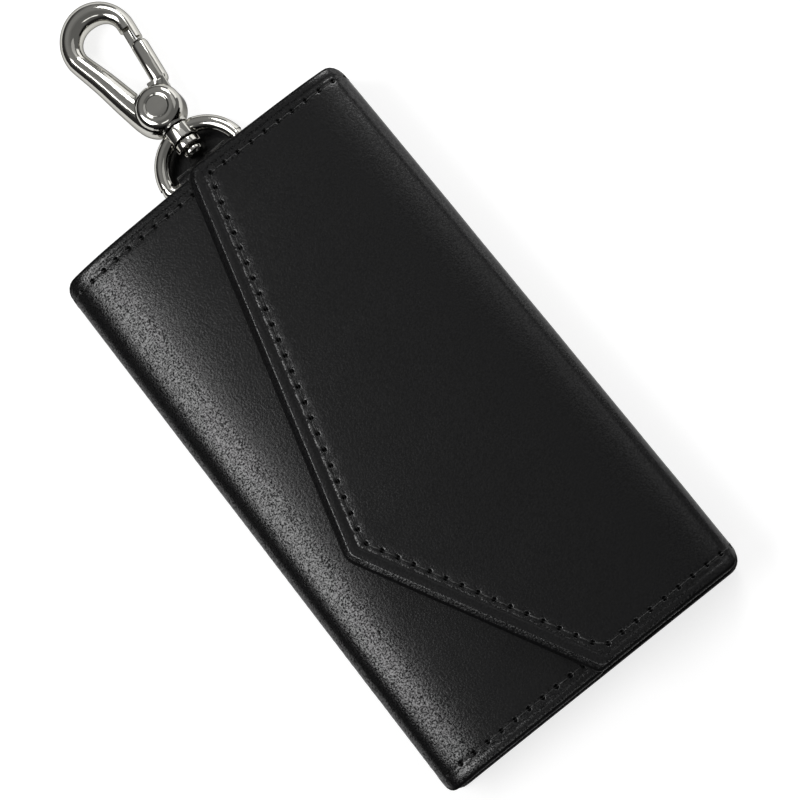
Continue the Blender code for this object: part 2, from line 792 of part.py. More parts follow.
def make_rivet(name, place, plate_top, *held):
    """A domed rivet through the plate and the lining under it."""
    seat = plate_top + STUD_CLEARANCE
    low = LINING_LOW
    head, rise, shank = RIVET_HEAD_RADIUS, RIVET_HEAD_HEIGHT, RIVET_SHANK_RADIUS
    dome = [(0, rise), (head * math.sin(math.pi / 6), rise * math.cos(math.pi / 9))]
    dome.append((head * math.sin(math.pi / 3), rise * math.cos(math.pi / 4)))
    profile = dome + [(head, rise / 4), (head, 0), (shank, 0), (shank, low - seat), (0, low - seat)]
    turned(name, profile, (place.x, place.y, seat), "Z", NICKEL, sides=SMALL_ROUND_SIDES)
    hole = cylinder(name + "_hole", (place.x, place.y, low - CUT_OVERRUN),
                    seat - low + CUT_OVERRUN * 2, shank + RIVET_CLEARANCE, "Z",
                    sides=SMALL_ROUND_SIDES)
    for piece in held:
        cut(piece, hole)


def make_press_stud(pieces):
    """The two halves of the stud that holds the outer flap down on the inner one."""
    place = Vector((*(FLAP_POINT + Vector((STUD_FROM_POINT, STUD_ABOVE_POINT))), 0))
    recess_floor = INNER_TOP - STUD_RECESS_DEPTH
    flange_low = recess_floor + STUD_CLEARANCE
    flange_top = flange_low + STUD_FLANGE_THICKNESS
    knob_top = flange_top + STUD_KNOB_HEIGHT
    shank_low = INNER_LINING_LOW + STUD_CLEARANCE
    bore_top = INNER_TOP
    profile = [
        (0, knob_top),
        (STUD_KNOB_RADIUS - STUD_CLEARANCE, knob_top),
        (STUD_KNOB_RADIUS, knob_top - STUD_CLEARANCE),
        (STUD_SHANK_RADIUS, flange_top),
        (STUD_FLANGE_RADIUS, flange_top),
        (STUD_FLANGE_RADIUS, flange_low),
        (STUD_SHANK_RADIUS, flange_low),
        (STUD_SHANK_RADIUS, shank_low),
        (STUD_BORE_RADIUS, shank_low),
        (STUD_BORE_RADIUS, bore_top),
        (0, bore_top),
    ]
    stud = turned("snap_stud", profile, place, "Z", GUNMETAL)

    back_top = INNER_LINING_LOW - STUD_CLEARANCE
    back_low = back_top - STUD_BACK_THICKNESS
    profile = [
        (0, bore_top - STUD_CLEARANCE),
        (STUD_PIN_RADIUS, bore_top - STUD_CLEARANCE),
        (STUD_PIN_RADIUS, back_top),
        (STUD_BACK_RADIUS, back_top),
        (STUD_BACK_RADIUS, back_low),
        (0, back_low),
    ]
    stud_back = turned("snap_stud_back", profile, place, "Z", GUNMETAL)

    shank_hole = cylinder("stud_hole", (place.x, place.y, back_low - CUT_OVERRUN),
                          INNER_TOP - back_low + 2 * CUT_OVERRUN,
                          STUD_SHANK_RADIUS + STUD_CLEARANCE, "Z")
    recess = cylinder("stud_recess", (place.x, place.y, recess_floor),
                      STUD_RECESS_DEPTH + CUT_OVERRUN, STUD_FLANGE_RADIUS + STUD_CLEARANCE, "Z")
    cut(pieces["inner_flap_cover"], shank_hole, recess)
    cut(pieces["inner_flap_lining"], shank_hole)

    socket_top = OUTER_LINING_LOW - STUD_CLEARANCE
    socket_low = socket_top - SOCKET_THICKNESS
    barrel_top = OUTER_COVER_LOW - STUD_CLEARANCE
    cap_low = OUTER_COVER_LOW - STUD_CLEARANCE / 2
    cap_top = cap_low + SNAP_CAP_THICKNESS
    profile = [
        (SOCKET_BORE_RADIUS, barrel_top),
        (SOCKET_BARREL_RADIUS, barrel_top),
        (SOCKET_BARREL_RADIUS, socket_top),
        (SOCKET_RADIUS, socket_top),
        (SOCKET_RADIUS, socket_low),
        (SOCKET_BORE_RADIUS, socket_low),
    ]
    socket = turned("snap_socket", profile, place, "Z", GUNMETAL)
    profile = [(0, cap_top), (SNAP_CAP_RADIUS, cap_top), (SNAP_CAP_RADIUS, cap_low), (0, cap_low)]
    cap = turned("snap_cap", profile, place, "Z", GUNMETAL)

    barrel_hole = cylinder("barrel_hole", (place.x, place.y, OUTER_LINING_LOW - CUT_OVERRUN),
                           OUTER_COVER_LOW - OUTER_LINING_LOW - LAYER_GAP / 2 + CUT_OVERRUN,
                           SOCKET_BARREL_RADIUS + STUD_CLEARANCE, "Z")
    cap_recess = cylinder("cap_recess", (place.x, place.y, OUTER_COVER_LOW - CUT_OVERRUN),
                          CUT_OVERRUN + SNAP_CAP_THICKNESS + STUD_CLEARANCE / 2,
                          SNAP_CAP_RADIUS + STUD_CLEARANCE, "Z")
    cut(pieces["outer_flap_lining"], barrel_hole)
    cut(pieces["outer_flap_cover"], cap_recess)
    return (stud, stud_back), (socket, cap)


def tab_leaf_outline(ring):
    """The D-shaped leaf of the tab under the ring."""
    reach = RING_RADIUS - TAB_LEAF_INSET
    half = TAB_WIDTH / 2
    centre = ring.y + RING_BOW_REACH
    start = ring.y + TAB_LEAF_START
    outline = [(ring.x - half, start), (ring.x + half, start), (ring.x + half, ring.y)]
    for step in range(TAB_LEAF_STEPS + 1):
        angle = math.pi * step / TAB_LEAF_STEPS
        outline.append((ring.x + reach * math.cos(angle), centre + reach * math.sin(angle)))
    return outline + [(ring.x - half, ring.y)]


def make_tab(ring):
    """The strap that goes round the ring's bar; both its ends are sewn to the lining.

    Its rear leaf lies under the ring, out to the bow.
    """
    loop = RING_BAR_RADIUS + BAR_CLEARANCE + TAB_THICKNESS / 2
    leg = (TAB_LEG_GAP + TAB_THICKNESS) / 2
    start = HALF_LENGTH - TAB_LENGTH
    opening = math.radians(TAB_OPEN_ANGLE)
    bend = ring.y - loop * math.cos(opening) - (loop * math.sin(opening) - leg) * math.tan(opening)
    path = [(start, ring.z - leg), (bend, ring.z - leg)]
    for step in range(TAB_LOOP_STEPS + 1):
        angle = math.pi + opening + 2 * (math.pi - opening) * step / TAB_LOOP_STEPS
        path.append((ring.y + loop * math.cos(angle), ring.z + loop * math.sin(angle)))
    path += [(bend, ring.z + leg), (start, ring.z + leg)]

    def build(form):
        lines = []
        for y, z in path:
            sides = (ring.x - TAB_WIDTH / 2, ring.x + TAB_WIDTH / 2)
            lines.append([form.verts.new((x, y, z)) for x in sides])
        for before, after in zip(lines, lines[1:]):
            form.faces.new([before[0], after[0], after[1], before[1]])

    tab = add_object("ring_tab", mesh_from("ring_tab", build), LEATHER)
    shell = tab.modifiers.new("leather", "SOLIDIFY")
    shell.thickness = TAB_THICKNESS
    shell.offset = 0
    shell.use_even_offset = True
    leaf = plate("tab_leaf", tab_leaf_outline(ring), 0, TAB_LEAF_THICKNESS)
    heel_side = TAB_WIDTH / 2 - TAB_HEEL_INSET
    heel = box(
        "tab_heel",
        (ring.x - heel_side, ring.y + TAB_LEAF_START + TAB_HEEL_INSET, TAB_LEAF_THICKNESS / 2),
        (ring.x + heel_side, ring.y + TAB_HEEL_END, TAB_HEEL_HEIGHT))
    join(leaf, heel)
    join(tab, leaf)


def make_clasp_ring(ring):
    """The D-shaped ring, with the faceted collar that the clasp's post turns in."""
    start = math.asin((RING_CORNER_RADIUS - RING_BOW_REACH) / RING_RADIUS)
    bow_centre = ring + Vector((0, RING_BOW_REACH, 0))
    points = []
    for step in range(RING_BOW_STEPS + 1):
        angle = start + (math.pi - 2 * start) * step / RING_BOW_STEPS
        points.append(bow_centre + Vector((math.cos(angle), math.sin(angle), 0)) * RING_RADIUS)
    shares = [1] * len(points)
    inner = RING_RADIUS - RING_CORNER_RADIUS
    bar_share = RING_BAR_RADIUS / RING_WIRE_RADIUS
    for side, turn in ((-1, math.pi), (1, math.pi * 3 / 2)):
        for step in range(RING_CORNER_STEPS + 1):
            angle = turn + math.pi / 2 * step / RING_CORNER_STEPS
            middle = ring + Vector((side * inner, RING_CORNER_RADIUS, 0))
            points.append(middle + Vector((math.cos(angle), math.sin(angle), 0)) * RING_CORNER_RADIUS)
            shares.append(bar_share)
    bow = tube("clasp_ring", points, RING_WIRE_RADIUS, GUNMETAL, shares, closed=True)
    collar = cylinder("ring_collar", (ring.x, ring.y + COLLAR_INNER_REACH, ring.z),
                      COLLAR_OUTER_REACH - COLLAR_INNER_REACH, COLLAR_RADIUS, "Y",
                      sides=COLLAR_SIDES)
    bore = cylinder("collar_bore", (ring.x, ring.y + COLLAR_INNER_REACH - CUT_OVERRUN, ring.z),
                    COLLAR_OUTER_REACH - COLLAR_INNER_REACH + 2 * CUT_OVERRUN,
                    POST_RADIUS + POST_CLEARANCE, "Y")
    neck_seat = cylinder("neck_seat", (ring.x, ring.y + COLLAR_OUTER_REACH, ring.z),
                         RING_WIRE_RADIUS + CUT_OVERRUN, NECK_RADIUS + NECK_CLEARANCE, "Y")
    join(bow, collar)
    cut(bow, bore, neck_seat)
    return bow


def clasp_rod(ring):
    """The hook's rod: up from the neck, along the back, round the head to the nose."""
    def place(reach, side):
        return ring + Vector((side, reach, 0))

    points = [
        place(ROD_BASE_REACH, -ROD_BASE_SIDE),
        place(ROD_HEEL_REACH, -ROD_HEEL_SIDE),
        place(ROD_ROOT_REACH, -ROD_ROOT_SIDE),
        place(ROD_WAIST_REACH, -ROD_WAIST_SIDE),
    ]
    shares = [ROD_BASE_SHARE, ROD_HEEL_SHARE, ROD_ROOT_SHARE, ROD_WAIST_SHARE]
    tilt = math.radians(GATE_TILT)
    start = math.radians(HEAD_START_ANGLE)
    end = math.pi + tilt
    for step in range(HEAD_STEPS + 1):
        angle = start + (end - start) * step / HEAD_STEPS
        points.append(place(
            HEAD_REACH + HEAD_RADIUS * math.sin(angle), -HEAD_SIDE - HEAD_RADIUS * math.cos(angle)))
        crest = max(math.sin(angle), 0) ** 2
        thin = ROD_SHOULDER_SHARE if math.cos(angle) > 0 else ROD_NOSE_SHARE
        shares.append(thin + (ROD_CREST_SHARE - thin) * crest)
    points.append(points[-1] - Vector((math.sin(tilt), math.cos(tilt), 0)) * NOSE_LENGTH)
    shares.append(ROD_NOSE_SHARE)
    return tube("clasp_rod", points, ROD_RADIUS, shares=shares)


def gate_frame_box(name, hub, low, high, finish=None):
    """A box in the closed gate's own directions: across it, along it and up, from the hub."""
    low = hub + Vector(low)
    high = hub + Vector(high)
    return box(name, low, high, finish, turn=(hub, -GATE_TILT))


def make_clasp_body(ring, hub):
    """The cast hook: hub with two cheeks, rod, neck and the riveted swivel post."""
    half, rim = HUB_THICKNESS / 2, HUB_RIM_THICKNESS / 2
    dome = []
    for step in range(HUB_DOME_STEPS + 1):
        angle = math.pi / 2 * step / HUB_DOME_STEPS
        dome.append((
            HUB_FACE_RADIUS + (HUB_RADIUS - HUB_FACE_RADIUS) * math.sin(angle),
            rim + (half - rim) * math.cos(angle)))
    profile = [(0, half)] + dome + [(radius, -height) for radius, height in dome[::-1]] + [(0, -half)]
    body = turned("clasp_body", profile, hub, "Z", GUNMETAL)
    neck = cylinder("clasp_neck", (ring.x, ring.y + NECK_REACH, ring.z),
                    HUB_REACH - NECK_REACH, NECK_RADIUS, "Y")
    post = cylinder("clasp_post", (ring.x, ring.y + POST_HEAD_REACH, ring.z),
                    NECK_REACH - POST_HEAD_REACH + CUT_OVERRUN, POST_RADIUS, "Y")
    crown = POST_HEAD_HEIGHT / 3
    head_profile = [
        (0, POST_HEAD_HEIGHT), (POST_HEAD_RADIUS, POST_HEAD_HEIGHT),
        (POST_HEAD_RADIUS, crown), (POST_HEAD_RADIUS - crown, 0), (0, 0),
    ]
    head = turned("post_head", head_profile, (ring.x, ring.y + POST_HEAD_REACH, ring.z), "Y")
    join(body, clasp_rod(ring), neck, post, head)

    slot = cylinder("gate_slot", hub - Vector((0, 0, SLOT_WIDTH / 2)), SLOT_WIDTH, SLOT_RADIUS, "Z")
    slot_mouth = box("slot_mouth",
                     hub + Vector((-SLOT_SIDE_REACH, 0, -SLOT_WIDTH / 2)),
                     hub + Vector((HUB_RADIUS + CUT_OVERRUN, HUB_RADIUS + CUT_OVERRUN, SLOT_WIDTH / 2)))
    pin_hole = cylinder("pin_hole", hub - Vector((0, 0, half + CUT_OVERRUN)),
                        HUB_THICKNESS + 2 * CUT_OVERRUN, PIN_RADIUS + PIN_CLEARANCE, "Z")
    seat = PIN_HEAD_DEPTH + PIN_HEAD_SINK + PIN_CLEARANCE
    seat_radius = PIN_HEAD_RADIUS + PIN_CLEARANCE
    top_seat = cylinder("pin_seat_top", hub + Vector((0, 0, half - seat)),
                        seat + CUT_OVERRUN, seat_radius, "Z")
    low_seat = cylinder("pin_seat_low", hub - Vector((0, 0, half + CUT_OVERRUN)),
                        seat + CUT_OVERRUN, seat_radius, "Z")
    tongue_side = GATE_SIDE - GATE_WIDTH / 2 + GATE_TONGUE_SHARE * GATE_WIDTH
    nose_end = gate_frame_box(
        "nose_end", hub, (0, GATE_START, -half),
        (HUB_RADIUS * 2, GATE_END + GATE_CLEARANCE, half))
    nose_notch = gate_frame_box(
        "nose_notch", hub, (0, GATE_START, -half),
        (tongue_side + GATE_CLEARANCE, GATE_TONGUE_END + GATE_CLEARANCE, half))
    cut(body, slot, slot_mouth, pin_hole, top_seat, low_seat, nose_end, nose_notch)
    return body


def make_swivel_washer(ring):
    """The loose washer between the collar and the post's riveted head."""
    inner = POST_RADIUS + POST_CLEARANCE
    profile = [
        (inner, WASHER_THICKNESS), (WASHER_RADIUS, WASHER_THICKNESS),
        (WASHER_RADIUS, 0), (inner, 0),
    ]
    reach = POST_HEAD_REACH + POST_HEAD_HEIGHT + POST_CLEARANCE
    place = (ring.x, ring.y + reach, ring.z)
    return turned("swivel_washer", profile, place, "Y", GUNMETAL)


def make_gate(hub):
    low_side = GATE_SIDE - GATE_WIDTH / 2
    high_side = GATE_SIDE + GATE_WIDTH / 2
    tongue_side = low_side + GATE_TONGUE_SHARE * GATE_WIDTH
    half = GATE_THICKNESS / 2
    knuckle_top = SLOT_WIDTH / 2 - GATE_CLEARANCE
    knuckle_low = knuckle_top - KNUCKLE_THICKNESS
    gate = gate_frame_box("clasp_gate", hub, (low_side, GATE_START, -half),
                          (high_side, GATE_END, half), GUNMETAL)
    bevel(gate, GATE_BEVEL, segments=2)
    tongue = gate_frame_box(
        "gate_tongue", hub, (low_side + SHORTEST_EDGE, GATE_END - GATE_BEVEL * 2, GATE_BEVEL - half),
        (tongue_side, GATE_TONGUE_END, half - GATE_BEVEL))
    link = gate_frame_box(
        "gate_link", hub, (LINK_SIDE, LINK_START, knuckle_low),
        (high_side - GATE_BEVEL, GATE_START + GATE_BEVEL * 2, knuckle_top - SHORTEST_EDGE / 2))
    knuckle = cylinder("gate_knuckle", hub + Vector((0, 0, knuckle_low)),
                       KNUCKLE_THICKNESS, KNUCKLE_RADIUS, "Z")
    hole = cylinder("gate_hole", hub + Vector((0, 0, knuckle_low - CUT_OVERRUN)),
                    KNUCKLE_THICKNESS + 2 * CUT_OVERRUN, PIN_RADIUS + PIN_CLEARANCE, "Z")
    join(gate, tongue, link, knuckle)
    cut(gate, hole)
    return gate


def make_gate_pin(hub):
    """The rivet through both cheeks, with a shallow head in each seat."""
    top = HUB_THICKNESS / 2 - PIN_HEAD_SINK
    profile = [
        (0, top), (PIN_HEAD_RADIUS, top), (PIN_HEAD_RADIUS, top - PIN_HEAD_DEPTH),
        (PIN_RADIUS, top - PIN_HEAD_DEPTH),
    ]
    profile += [(radius, -height) for radius, height in profile[::-1]]
    return turned("gate_pin", profile, hub, "Z", GUNMETAL)


def make_gate_spring(hub):
    """The torsion spring round the pin, under the gate's knuckle, with two short legs."""
    low = -SLOT_WIDTH / 2 + GATE_CLEARANCE + GATE_SPRING_WIRE_RADIUS
    count = round(GATE_SPRING_TURNS * GATE_SPRING_TURN_POINTS)
    coil = []
    for index in range(count + 1):
        angle = 2 * math.pi * index / GATE_SPRING_TURN_POINTS
        rise = low + GATE_SPRING_PITCH * index / GATE_SPRING_TURN_POINTS
        coil.append(hub + Vector((
            GATE_SPRING_RADIUS * math.cos(angle), GATE_SPRING_RADIUS * math.sin(angle), rise)))
    first, last = coil[0], coil[-1]
    leg = math.sqrt(GATE_SPRING_REACH ** 2 - GATE_SPRING_RADIUS ** 2)
    start = first - (coil[1] - first).normalized() * leg
    end = last + (last - coil[-2]).normalized() * leg
    return tube("gate_spring", [start] + coil + [end], GATE_SPRING_WIRE_RADIUS,
                SPRING_STEEL, resolution=1)


def make_clasp():
    ring = Vector((
        RING_OFFSET, HALF_LENGTH + RING_BEYOND_EDGE,
        LINING_TOP + LAYER_GAP + TAB_THICKNESS + TAB_LEG_GAP / 2))
    hub = ring + Vector((0, HUB_REACH, 0))
    make_tab(ring)
    ring_axis = axis_empty("ring_axis", ring)
    carry(ring_axis, make_clasp_ring(ring))
    swivel_axis = axis_empty("swivel_axis", ring + Vector((0, COLLAR_INNER_REACH, 0)))
    carry(swivel_axis, make_clasp_body(ring, hub), make_swivel_washer(ring),
          make_gate_pin(hub), make_gate_spring(hub))
    gate_axis = axis_empty("gate_axis", hub)
    carry(gate_axis, make_gate(hub))
    carry(swivel_axis, gate_axis)
    carry(ring_axis, swivel_axis)


def make_case():
    pieces = make_leather()
    make_pockets()
    make_key_row(pieces["back_lining"])
    stud, socket = make_press_stud(pieces)
    sides = (
        ("left", -1, LEFT_FOLD, ["inner_flap_cover", "inner_flap_lining"], stud),
        ("right", 1, RIGHT_FOLD, ["outer_flap_cover", "outer_flap_lining"], socket),
    )
    for name, side, fold, flap, studs in sides:
        strip_axis = axis_empty(name + "_fold_axis", (side * HALF_WIDTH, 0, fold.low_hinge))
        flap_axis = axis_empty(name + "_flap_axis", (side * HALF_WIDTH, 0, fold.high_hinge))
        carry(strip_axis, pieces[name + "_fold_cover"], pieces[name + "_fold_lining"])
        carry(flap_axis, *[pieces[piece] for piece in flap], *studs)
        carry(strip_axis, flap_axis)


make_case()
make_clasp()
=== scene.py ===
"""Looks of a folding leather key case with a swivel snap clasp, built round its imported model.

The case lies on its back: +X points to the fold of the outer flap, +Y to the clasp and +Z up.
Lengths are in metres and angles in degrees.
"""
import math
import random

import bmesh
import bpy
import numpy as np
from mathutils import Matrix, Vector
from mathutils.geometry import delaunay_2d_cdt


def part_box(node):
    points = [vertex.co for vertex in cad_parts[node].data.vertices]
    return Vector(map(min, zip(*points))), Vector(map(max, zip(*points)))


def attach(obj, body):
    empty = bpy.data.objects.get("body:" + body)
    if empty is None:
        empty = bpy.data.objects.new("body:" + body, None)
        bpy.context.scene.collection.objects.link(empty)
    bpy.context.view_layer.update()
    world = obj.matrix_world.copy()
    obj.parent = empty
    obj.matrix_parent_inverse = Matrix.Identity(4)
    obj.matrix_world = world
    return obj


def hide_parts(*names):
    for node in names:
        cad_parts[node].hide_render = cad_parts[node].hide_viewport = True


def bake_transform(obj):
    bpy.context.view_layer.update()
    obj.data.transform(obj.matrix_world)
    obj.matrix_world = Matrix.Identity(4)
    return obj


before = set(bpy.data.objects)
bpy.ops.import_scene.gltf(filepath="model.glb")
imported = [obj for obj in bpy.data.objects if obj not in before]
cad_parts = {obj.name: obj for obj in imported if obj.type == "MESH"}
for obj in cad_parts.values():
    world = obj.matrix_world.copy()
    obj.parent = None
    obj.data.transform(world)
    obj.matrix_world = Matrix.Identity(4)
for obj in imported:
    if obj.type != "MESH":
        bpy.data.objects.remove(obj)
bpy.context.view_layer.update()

# Camera: how it stands over the case, as seen in the photograph
CAMERA_DISTANCE = 0.400
CAMERA_TILT = 11.95
CAMERA_SIDE = 3.03
CAMERA_ROLL = -38.52
CAMERA_TARGET = Vector((0.003389, 0.002452, 0.005))
CAMERA_LENS_SHARE = 2199.1 / 800
SENSOR_WIDTH = 36.0
CLIP_RANGE = (0.01, 10)

# Case
HALF_LENGTH = 0.059
HALF_WIDTH = 0.033
COVER_THICKNESS = 0.0012
LINING_THICKNESS = 0.0008
LAYER_GAP = 0.0003
LINING_INSET = 0.0006
CORNER_RADIUS = 0.0024
INNER_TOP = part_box("inner_flap_cover")[1].z
OUTER_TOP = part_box("outer_flap_cover")[1].z

# Folds
LEFT_RISE = 0.004069
LEFT_SHOULDER_RISE = 0.0053
LEFT_CLASP_EASE = (43.0, 0.0049)
LEFT_FAR_EASE = (36.0, 0.0040)
RIGHT_RISE = 0.003857
RIGHT_EASE = (14.0, 0.0040)
EASE_SPAN = 7.0
TRACE_STEP = 0.00005
LEFT_BLEND_REACH = 0.0031
RIGHT_BLEND_REACH = 0.00496
BACK_BLEND_START = 0.00265
BLEND_MARGIN = 0.0001
SHOULDER_REACH = 0.012

# Outer flap
FLAP_TOP_DROP = 0.0012
FLAP_TOP_X = -0.00119
FLAP_POINT = (-0.02152, -0.01569)
FLAP_BOTTOM_X = 0.00152
FLAP_TOP_RADIUS = 0.0025
FLAP_POINT_RADIUS = 0.0040
FLAP_BOTTOM_RADIUS = 0.0016
FLAP_CROWN = 0.00005

# Inner flap
INNER_FREE_X = 0.0033
INNER_FREE_RADIUS = 0.002

# Edges of the leather
FREE_CREASE = 0.0032
FREE_STITCH = 0.0043
END_CREASE = 0.0020
END_STITCH = 0.0031
SLOPE_WIDTH = 0.0015
SLOPE_DROP = 0.00082
SLOPE_LOW_DROP = 0.00050
SLOPE_CHANGE = 0.004
SLOPE_CREST_SHARE = 0.09
END_ROLL_WIDTH = 0.0011
END_ROLL_DROP = 0.00055
LIP_ROLL_WIDTH = 0.0005
LIP_ROLL_DROP = 0.00035
EDGE_PAINT_REACH = 0.00062
EDGE_PAINT_FADE = 0.00015
CREASE_DEPTH = 0.00012
CREASE_WIDTH = 0.00020
STITCH_GROOVE = 0.00006
STITCH_GROOVE_WIDTH = 0.00035
FOLD_EASE_START = 0.002
FOLD_EASE_RUN = 0.008
FOLD_EASE_SHARE = 0.12
SEAM_FADE = 0.004
SURFACE_WANDER = 0.00002

# Stitches
STITCH_PITCH = 0.0031
THREAD_RADIUS = 0.00018
HOLE_RADIUS = 0.00046
HOLE_DEPTH = 0.00090
HOLE_FLOOR_SHARE = 0.30
PUCKER_DEPTH = 0.00004
PUCKER_RADIUS = 0.00075
THREAD_DEPTH = 0.00026
STUD_CLEAR_RADIUS = 0.0046


def link(name, data):
    thing = bpy.data.objects.new(name, data)
    bpy.context.scene.collection.objects.link(thing)
    return thing


# Mesh helpers
SHEET_SHARP_ANGLE = 50
METAL_SHARP_ANGLE = 35
CURVE_MERGE_REACH = 0.000001
SOLID_MERGE_REACH = 0.0000005


def reworked(mesh, work):
    """The mesh after work has changed its form."""
    form = bmesh.new()
    form.from_mesh(mesh)
    work(form)
    form.to_mesh(mesh)
    form.free()
    return mesh


def faces_out(form):
    bmesh.ops.recalc_face_normals(form, faces=form.faces)


def set_material(mesh, material):
    mesh.materials.clear()
    mesh.materials.append(material)


def shade(mesh, sharp_angle):
    mesh.shade_smooth()
    mesh.set_sharp_from_angle(angle=math.radians(sharp_angle))


def evaluated_mesh(thing):
    bpy.context.view_layer.update()
    graph = bpy.context.evaluated_depsgraph_get()
    return bpy.data.meshes.new_from_object(thing.evaluated_get(graph))


def discard(*things):
    for thing in things:
        bpy.data.objects.remove(thing, do_unlink=True)


def round_curve(name, radius, resolution, capped=True):
    curve = bpy.data.curves.new(name, "CURVE")
    curve.dimensions = "3D"
    curve.bevel_depth = radius
    curve.bevel_resolution = resolution
    curve.use_fill_caps = capped
    return curve


def add_run(curve, places, widths=None, closed=False):
    run = curve.splines.new("POLY")
    run.points.add(len(places) - 1)
    for index, (point, place) in enumerate(zip(run.points, places)):
        point.co = (*place, 1)
        point.radius = widths[index] if widths else 1
    run.use_cyclic_u = closed


def as_mesh(curve, material):
    """A mesh object in place of the curve, with its doubled points merged."""
    thing = link(curve.name, curve)
    name, mesh = thing.name, evaluated_mesh(thing)
    discard(thing)
    reworked(mesh, lambda form: bmesh.ops.remove_doubles(
        form, verts=form.verts, dist=CURVE_MERGE_REACH))
    set_material(mesh, material)
    shade(mesh, SHEET_SHARP_ANGLE)
    return link(name, mesh)


def ridden(piece, body, node):
    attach(piece, body)
    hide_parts(node)


# Camera
def make_camera():
    tilt, side, roll = (math.radians(a) for a in (CAMERA_TILT, CAMERA_SIDE, CAMERA_ROLL))
    back = Vector((math.sin(side), -math.sin(tilt) * math.cos(side), math.cos(tilt) * math.cos(side)))
    back.normalize()
    level = Vector((0, 1, 0)).cross(back).normalized()
    rise = back.cross(level)
    right = level * math.cos(roll) + rise * math.sin(roll)
    up = rise * math.cos(roll) - level * math.sin(roll)
    lens = bpy.data.cameras.new("photo_camera")
    lens.sensor_width = SENSOR_WIDTH
    lens.lens = CAMERA_LENS_SHARE * SENSOR_WIDTH
    lens.clip_start, lens.clip_end = CLIP_RANGE
    camera = link("photo_camera", lens)
    turn = Matrix((right, up, back)).transposed().to_4x4()
    camera.matrix_world = Matrix.Translation(CAMERA_TARGET + back * CAMERA_DISTANCE) @ turn
    bpy.context.scene.camera = camera


make_camera()


# Node helpers
def new_material(name):
    material = bpy.data.materials.new(name)
    material.use_nodes = True
    tree = material.node_tree
    return material, tree, tree.nodes["Principled BSDF"]


def add_node(tree, kind, inputs=None, **settings):
    made = tree.nodes.new(kind)
    for key, value in settings.items():
        setattr(made, key, value)
    for key, value in (inputs or {}).items():
        if isinstance(value, bpy.types.NodeSocket):
            tree.links.new(value, made.inputs[key])
        else:
            made.inputs[key].default_value = value
    return made


def new_group(name, inputs, outputs):
    """A shader node group with float inputs, given with their values, and float outputs."""
    tree = bpy.data.node_groups.new(name, "ShaderNodeTree")
    for label, value in inputs.items():
        socket = tree.interface.new_socket(label, in_out="INPUT", socket_type="NodeSocketFloat")
        socket.default_value = value
    for label in outputs:
        tree.interface.new_socket(label, in_out="OUTPUT", socket_type="NodeSocketFloat")
    return tree, tree.nodes.new("NodeGroupInput").outputs, tree.nodes.new("NodeGroupOutput").inputs


def math_node(tree, operation, first, second=0.0, third=0.0):
    made = add_node(tree, "ShaderNodeMath", {0: first, 1: second, 2: third}, operation=operation)
    return made.outputs[0]


def ranged(tree, value, low, high, to_low, to_high):
    made = add_node(tree, "ShaderNodeMapRange", {
        "Value": value, "From Min": low, "From Max": high, "To Min": to_low, "To Max": to_high})
    return made.outputs["Result"]


def noise(tree, where, scale, detail=2.0, roughness=0.5, distortion=0.0):
    return add_node(tree, "ShaderNodeTexNoise", {
        "Vector": where, "Scale": scale, "Detail": detail, "Roughness": roughness,
        "Distortion": distortion}).outputs


def product(tree, first, second):
    return math_node(tree, "MULTIPLY", first, second)


def off_middle(tree, value):
    """How far a noise value lies from its middle: thin lines where this is near 0."""
    return math_node(tree, "ABSOLUTE", math_node(tree, "SUBTRACT", value, 0.5))


# Grain of the leather, in waves per metre
PEBBLE_WARP_SCALE = 900.0
PEBBLE_WARP = 0.0004
PEBBLE_SMOOTHNESS = 0.6
PEBBLE_RANGE = (0.1, 0.75)
FINE_GRAIN_SCALE = 3000.0
FINE_GRAIN_NOISE = (2.0, 0.6)
CREASE_SCALE = 420.0
CREASE_NOISE = (5.0, 0.62, 0.6)
CREASE_TURN = 0.45
CREASE_STRETCH = 0.28
CREASE_REACH = 0.035
WORKED_SCALE = 70.0
WORKED_RANGE = (0.46, 0.60, 0.1, 1.0)
PATCH_SCALE = 55.0
PATCH_NOISE = (4.0, 0.6)
RUBBED_RANGE = (0.35, 0.7)
MOTTLE_RANGE = (0.3, 0.7)

# Shine of the leather
FLAT_UPRIGHT, BENT_UPRIGHT = 0.9995, 0.9950
SPECK_LOW, SPECK_HIGH = 0.38, 0.62
FLAT_SPECK = 0.22
BENT_SPECK = 0.95
RIGHT_LEAN = (0.02, 0.08)
RIGHT_SPECK_SHARE = 0.35
PAINTED_SHARE = 0.08
GRAZING_START = 0.35
GRAZING_END = 0.75
GRAZING_SHARE = 0.2


